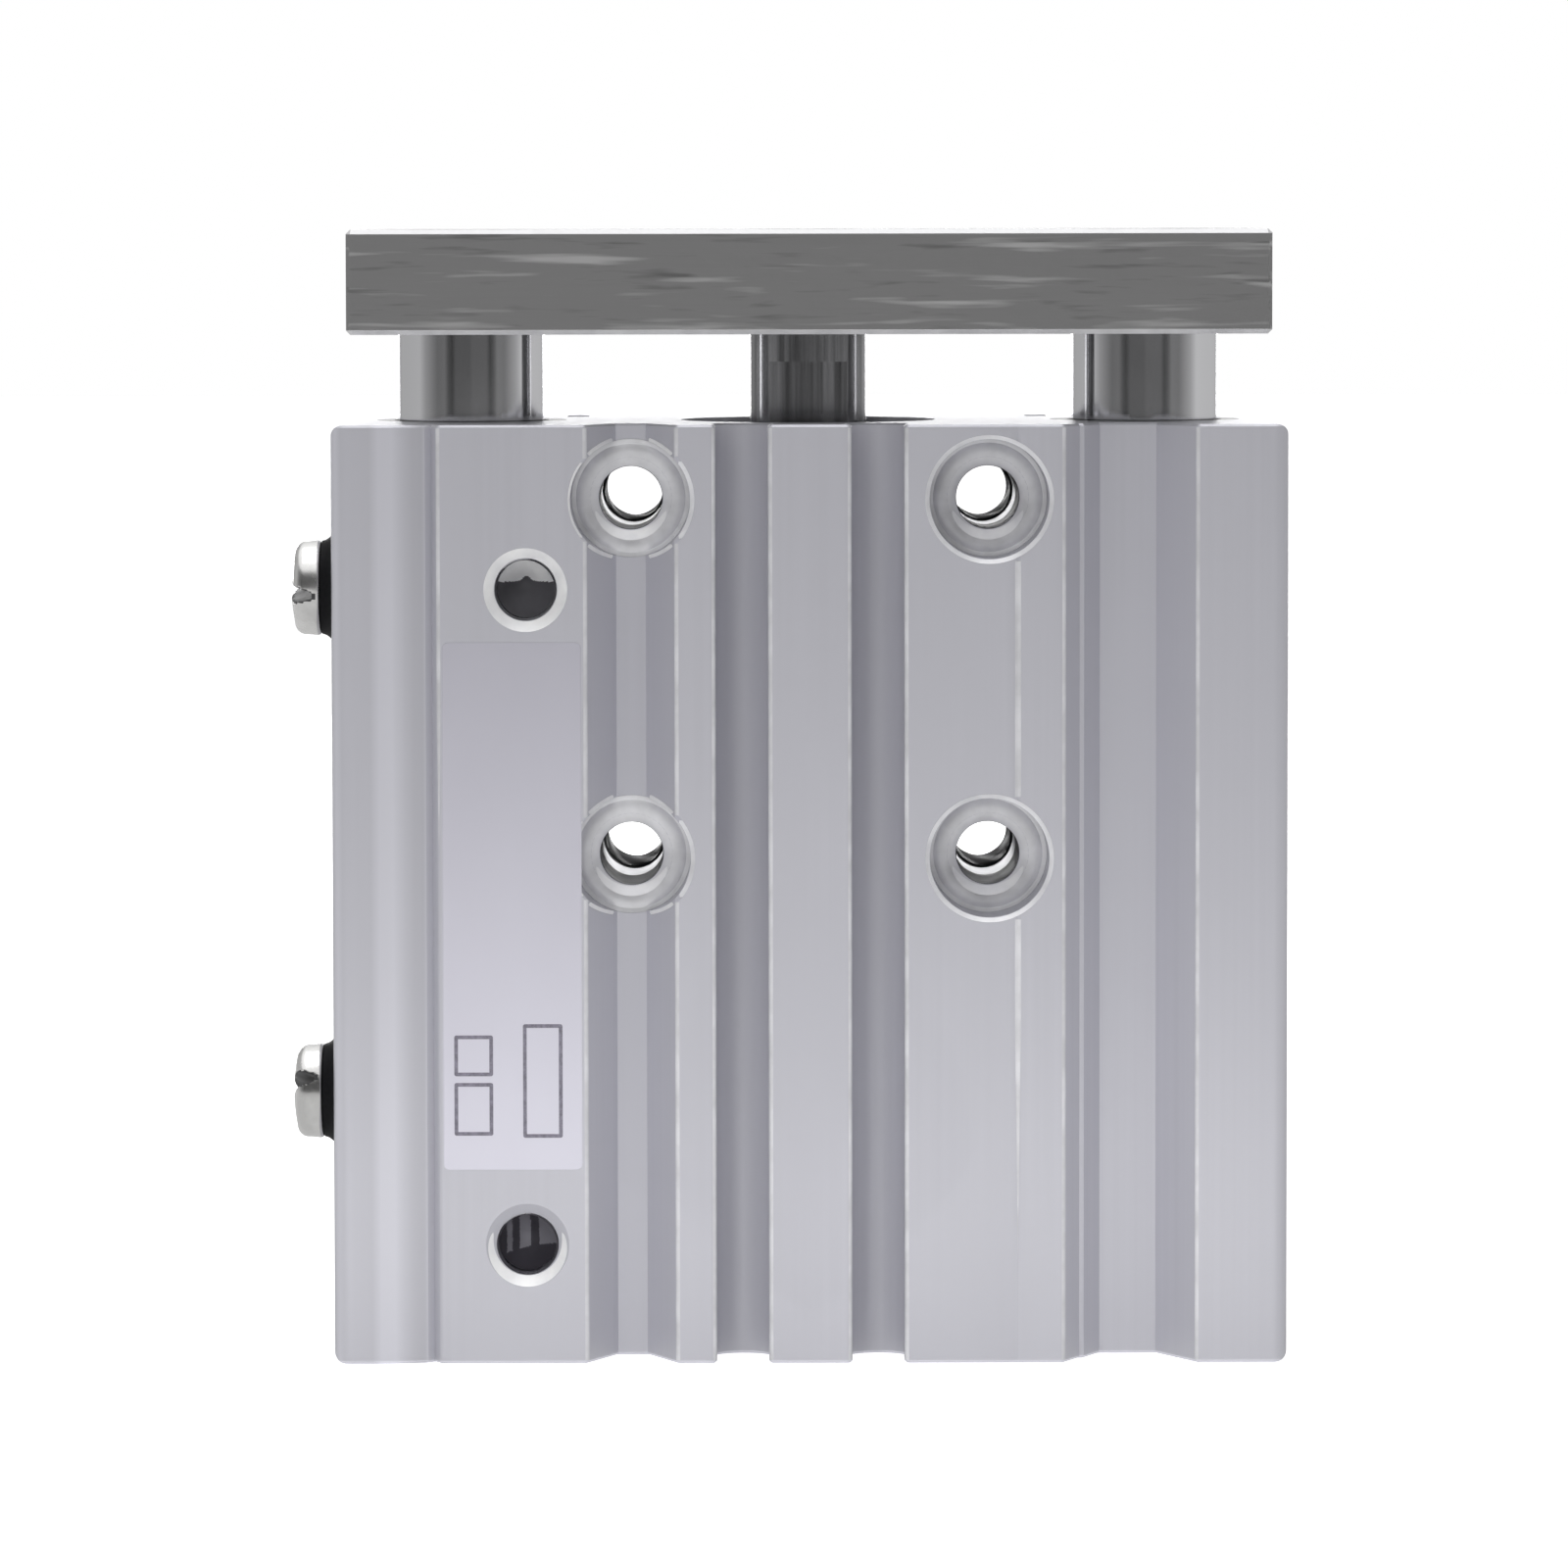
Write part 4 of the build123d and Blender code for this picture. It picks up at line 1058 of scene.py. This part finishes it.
class SetStudio(bpy.types.Operator):
    """Set the pale floor, the soft lamps and the camera"""

    bl_idname = "cylinder.set_studio"
    bl_label = "Studio"

    def execute(self, context):
        look = context.scene.cylinder_studio
        context.scene.view_settings.view_transform = "Standard"
        self.make_camera(context.scene)
        self.make_floor(look)
        self.make_world(context.scene, look)
        self.make_lamps(look)
        if look.cards:
            self.make_cards()
        return {"FINISHED"}

    def make_camera(self, scene):
        """A long lens level with the plate's top, turned by yaw, pitch and roll in radians."""
        yaw, pitch, roll = 0.00438, -0.0676, -0.00156
        place = (-0.004187, -0.571562, 0.076953)
        forward = np.array([np.sin(yaw) * np.cos(pitch), np.cos(yaw) * np.cos(pitch), np.sin(pitch)])
        right = np.array([np.cos(yaw), -np.sin(yaw), 0.0])
        up = np.cross(right, forward)
        right, up = right * np.cos(roll) + up * np.sin(roll), up * np.cos(roll) - right * np.sin(roll)
        data = bpy.data.cameras.new("Camera")
        data.sensor_width = 36.0
        data.lens = 191.61
        data.clip_start, data.clip_end = 0.01, 50.0
        camera = bpy.data.objects.new("Camera", data)
        scene.collection.objects.link(camera)
        turn = Matrix([Vector(column) for column in (right, up, -forward)]).transposed()
        camera.matrix_world = Matrix.Translation(place) @ turn.to_4x4()
        scene.camera = camera

    def make_floor(self, look):
        """A wide flat disc, white to the camera and to reflections, darker only where shaded."""
        material = finish("Pale floor", look.floor_colour, 0.0, 0.7)
        nodes = material.node_tree.nodes
        glow = node(material, "ShaderNodeEmission")
        seen = self.seen_or_mirrored(material)
        add = node(material, "ShaderNodeAddShader")
        glow_strength, radius = 0.86, 3.0
        join(material, self.scaled_value(material, seen, glow_strength), glow.inputs["Strength"])
        join(material, shader_of(material).outputs["BSDF"], add.inputs[0])
        join(material, glow.outputs["Emission"], add.inputs[1])
        join(material, add.outputs["Shader"], nodes["Material Output"].inputs["Surface"])
        self.make_sheet("Floor", turned([(0.0, 0.0), (radius, 0.0)], 96), material)

    def make_sheet(self, name, rows, material):
        """A sheet of the studio through rows of points."""
        mesh = bpy.data.meshes.new(name)
        faces = grid_faces(*rows.shape[:2])
        mesh.from_pydata(rows.reshape(-1, 3).tolist(), [], faces.reshape(-1, 4).tolist())
        mesh.materials.append(material)
        sheet = bpy.data.objects.new(name, mesh)
        bpy.context.scene.collection.objects.link(sheet)
        return sheet

    def seen_or_mirrored(self, tree_owner):
        """1 for camera, glossy and transmission rays, 0 for light that falls on things."""
        path = node(tree_owner, "ShaderNodeLightPath")
        largest = path.outputs["Is Camera Ray"]
        for name in ("Is Glossy Ray", "Is Transmission Ray"):
            pick = node(tree_owner, "ShaderNodeMath", operation="MAXIMUM")
            join(tree_owner, largest, pick.inputs[0])
            join(tree_owner, path.outputs[name], pick.inputs[1])
            largest = pick.outputs[0]
        return largest

    def scaled_value(self, tree_owner, value, factor, base=0.0):
        """value times factor plus base."""
        scale = node(tree_owner, "ShaderNodeMath", operation="MULTIPLY_ADD")
        join(tree_owner, value, scale.inputs[0])
        scale.inputs[1].default_value = factor
        scale.inputs[2].default_value = base
        return scale.outputs[0]

    def make_world(self, scene, look):
        """White behind the object and in its reflections, an even soft light otherwise."""
        world = bpy.data.worlds.new("Studio")
        world.use_nodes = True
        scene.world = world
        background = world.node_tree.nodes["Background"]
        background.inputs["Color"].default_value = (1.0, 1.0, 1.0, 1.0)
        seen = self.seen_or_mirrored(world)
        strength = self.scaled_value(world, seen, 1.0 - look.ambient, look.ambient)
        join(world, strength, background.inputs["Strength"])

    def make_lamps(self, look):
        """Soft lamps all round, overhead and at the object's foot; reflections show only Top and Back."""
        lamps = {
            "Key": (look.key_power, (-0.17, -0.78, 0.42), 0.45, 0.6),
            "Fill left": (look.fill_power, (-0.8, -0.15, 0.25), 0.5, 0.5),
            "Fill right": (0.5 * look.fill_power, (0.8, -0.15, 0.25), 0.5, 0.5),
            "Back": (look.back_power, (0.0, 0.7, 0.13), 0.6, 0.2),
            "Low": (look.low_power, (0.0, -0.055, 0.004), 0.13, 0.006),
            "Top": (look.top_power, (0.0, 0.0, 0.8), 0.6, 0.6),
        }
        aim = Vector((0.0, 0.0, 0.035))
        for name, (energy, place, width, height) in lamps.items():
            data = bpy.data.lights.new(name, "AREA")
            data.shape = "RECTANGLE"
            data.size, data.size_y = width, height
            data.energy = energy
            lamp = bpy.data.objects.new(name, data)
            lamp.location = place
            lamp.rotation_euler = (aim - lamp.location).to_track_quat("-Z", "Y").to_euler()
            lamp.visible_glossy = name in ("Top", "Back")
            lamp.visible_camera = False
            bpy.context.scene.collection.objects.link(lamp)

    def make_cards(self):
        """A ring and a disc seen only in reflections; an attribute holds how bright each point is.

        The ring's points stand at azimuth a, which is 0 towards the camera: (sin a, -cos a).
        """
        turn = np.radians(np.arange(0, 360, 2))
        off_front = (np.degrees(turn) + 180) % 360 - 180
        stops = (0, 24, 30, 36, 42, 54, 62, 76, 88, 138, 150, 164, 180)
        levels = (0.105, 0.105, 0.05, 0.085, 0.17, 0.16, 0.22, 0.34, 0.52, 0.48, 0.42, 0.8, 1.0)
        level = np.interp(np.abs(off_front), stops, levels) * (1 + 0.1 * np.sign(off_front))
        out, top, flat = 1.3, 1.1, np.full(len(turn), 0.0002)
        ring = np.column_stack([out * np.sin(turn), -out * np.cos(turn)])
        rows = np.stack([np.column_stack([ring, np.full(len(turn), height)]) for height in (0.0, top)])
        self.make_card("Card ring", rows, np.tile(level, 2))
        disc = np.stack([np.column_stack([ring * size, flat]) for size in (0.0, 1.0)])
        self.make_card("Card floor", disc, np.full(2 * len(turn), 0.6))

    def make_card(self, name, rows, level):
        """A glowing sheet that only reflections see."""
        material = bpy.data.materials.new(name)
        material.use_nodes = True
        nodes = material.node_tree.nodes
        nodes.remove(shader_of(material))
        glow = node(material, "ShaderNodeEmission")
        read = node(material, "ShaderNodeAttribute", attribute_name="glow")
        join(material, read.outputs["Fac"], glow.inputs["Strength"])
        join(material, glow.outputs["Emission"], nodes["Material Output"].inputs["Surface"])
        material.cycles.emission_sampling = "NONE"
        card = self.make_sheet(name, rows, material)
        brightness = card.data.attributes.new("glow", "FLOAT", "POINT")
        brightness.data.foreach_set("value", level.astype(np.float32))
        card.visible_camera = card.visible_diffuse = card.visible_shadow = False


class CylinderPanel(bpy.types.Panel):
    """Lists the pieces of the air cylinder and their settings"""

    bl_idname = "VIEW3D_PT_air_cylinder"
    bl_label = "Guided air cylinder"
    bl_space_type = "VIEW_3D"
    bl_region_type = "UI"
    bl_category = "Cylinder"

    def draw(self, context):
        for operator in OPERATORS:
            self.layout.operator(operator.bl_idname)
        for name, group in SETTINGS.items():
            box = self.layout.box()
            box.label(text=group.__doc__)
            for setting in group.__annotations__:
                box.prop(getattr(context.scene, name), setting)


SETTINGS = {
    "cylinder_body": BodyFinish,
    "cylinder_plate": PlateFinish,
    "cylinder_rods": RodFinish,
    "cylinder_plugs": PlugShape,
    "cylinder_threads": ThreadShape,
    "cylinder_rims": RimFinish,
    "cylinder_studio": Studio,
}
OPERATORS = (
    SetStudio,
    FinishBody,
    FinishPlate,
    FinishInnerPieces,
    AddGuideRods,
    AddPistonRod,
    AddPlateBolts,
    AddPortPlugs,
    AddThreads,
    AddEdgeHighlights,
    AddCutRims,
    AddLabel,
)


def register():
    """Register the settings, the operators and the panel."""
    for name, group in SETTINGS.items():
        bpy.utils.register_class(group)
        setattr(bpy.types.Scene, name, PointerProperty(type=group))
    for cls in (*OPERATORS, CylinderPanel):
        bpy.utils.register_class(cls)


def unregister():
    """Take back what register added."""
    for cls in reversed((*OPERATORS, CylinderPanel)):
        bpy.utils.unregister_class(cls)
    for name, group in reversed(SETTINGS.items()):
        delattr(bpy.types.Scene, name)
        bpy.utils.unregister_class(group)


def main():
    """Make every piece in order."""
    register()
    for operator in OPERATORS:
        category, name = operator.bl_idname.split(".")
        getattr(getattr(bpy.ops, category), name)()


if __name__ == "__main__":
    main()
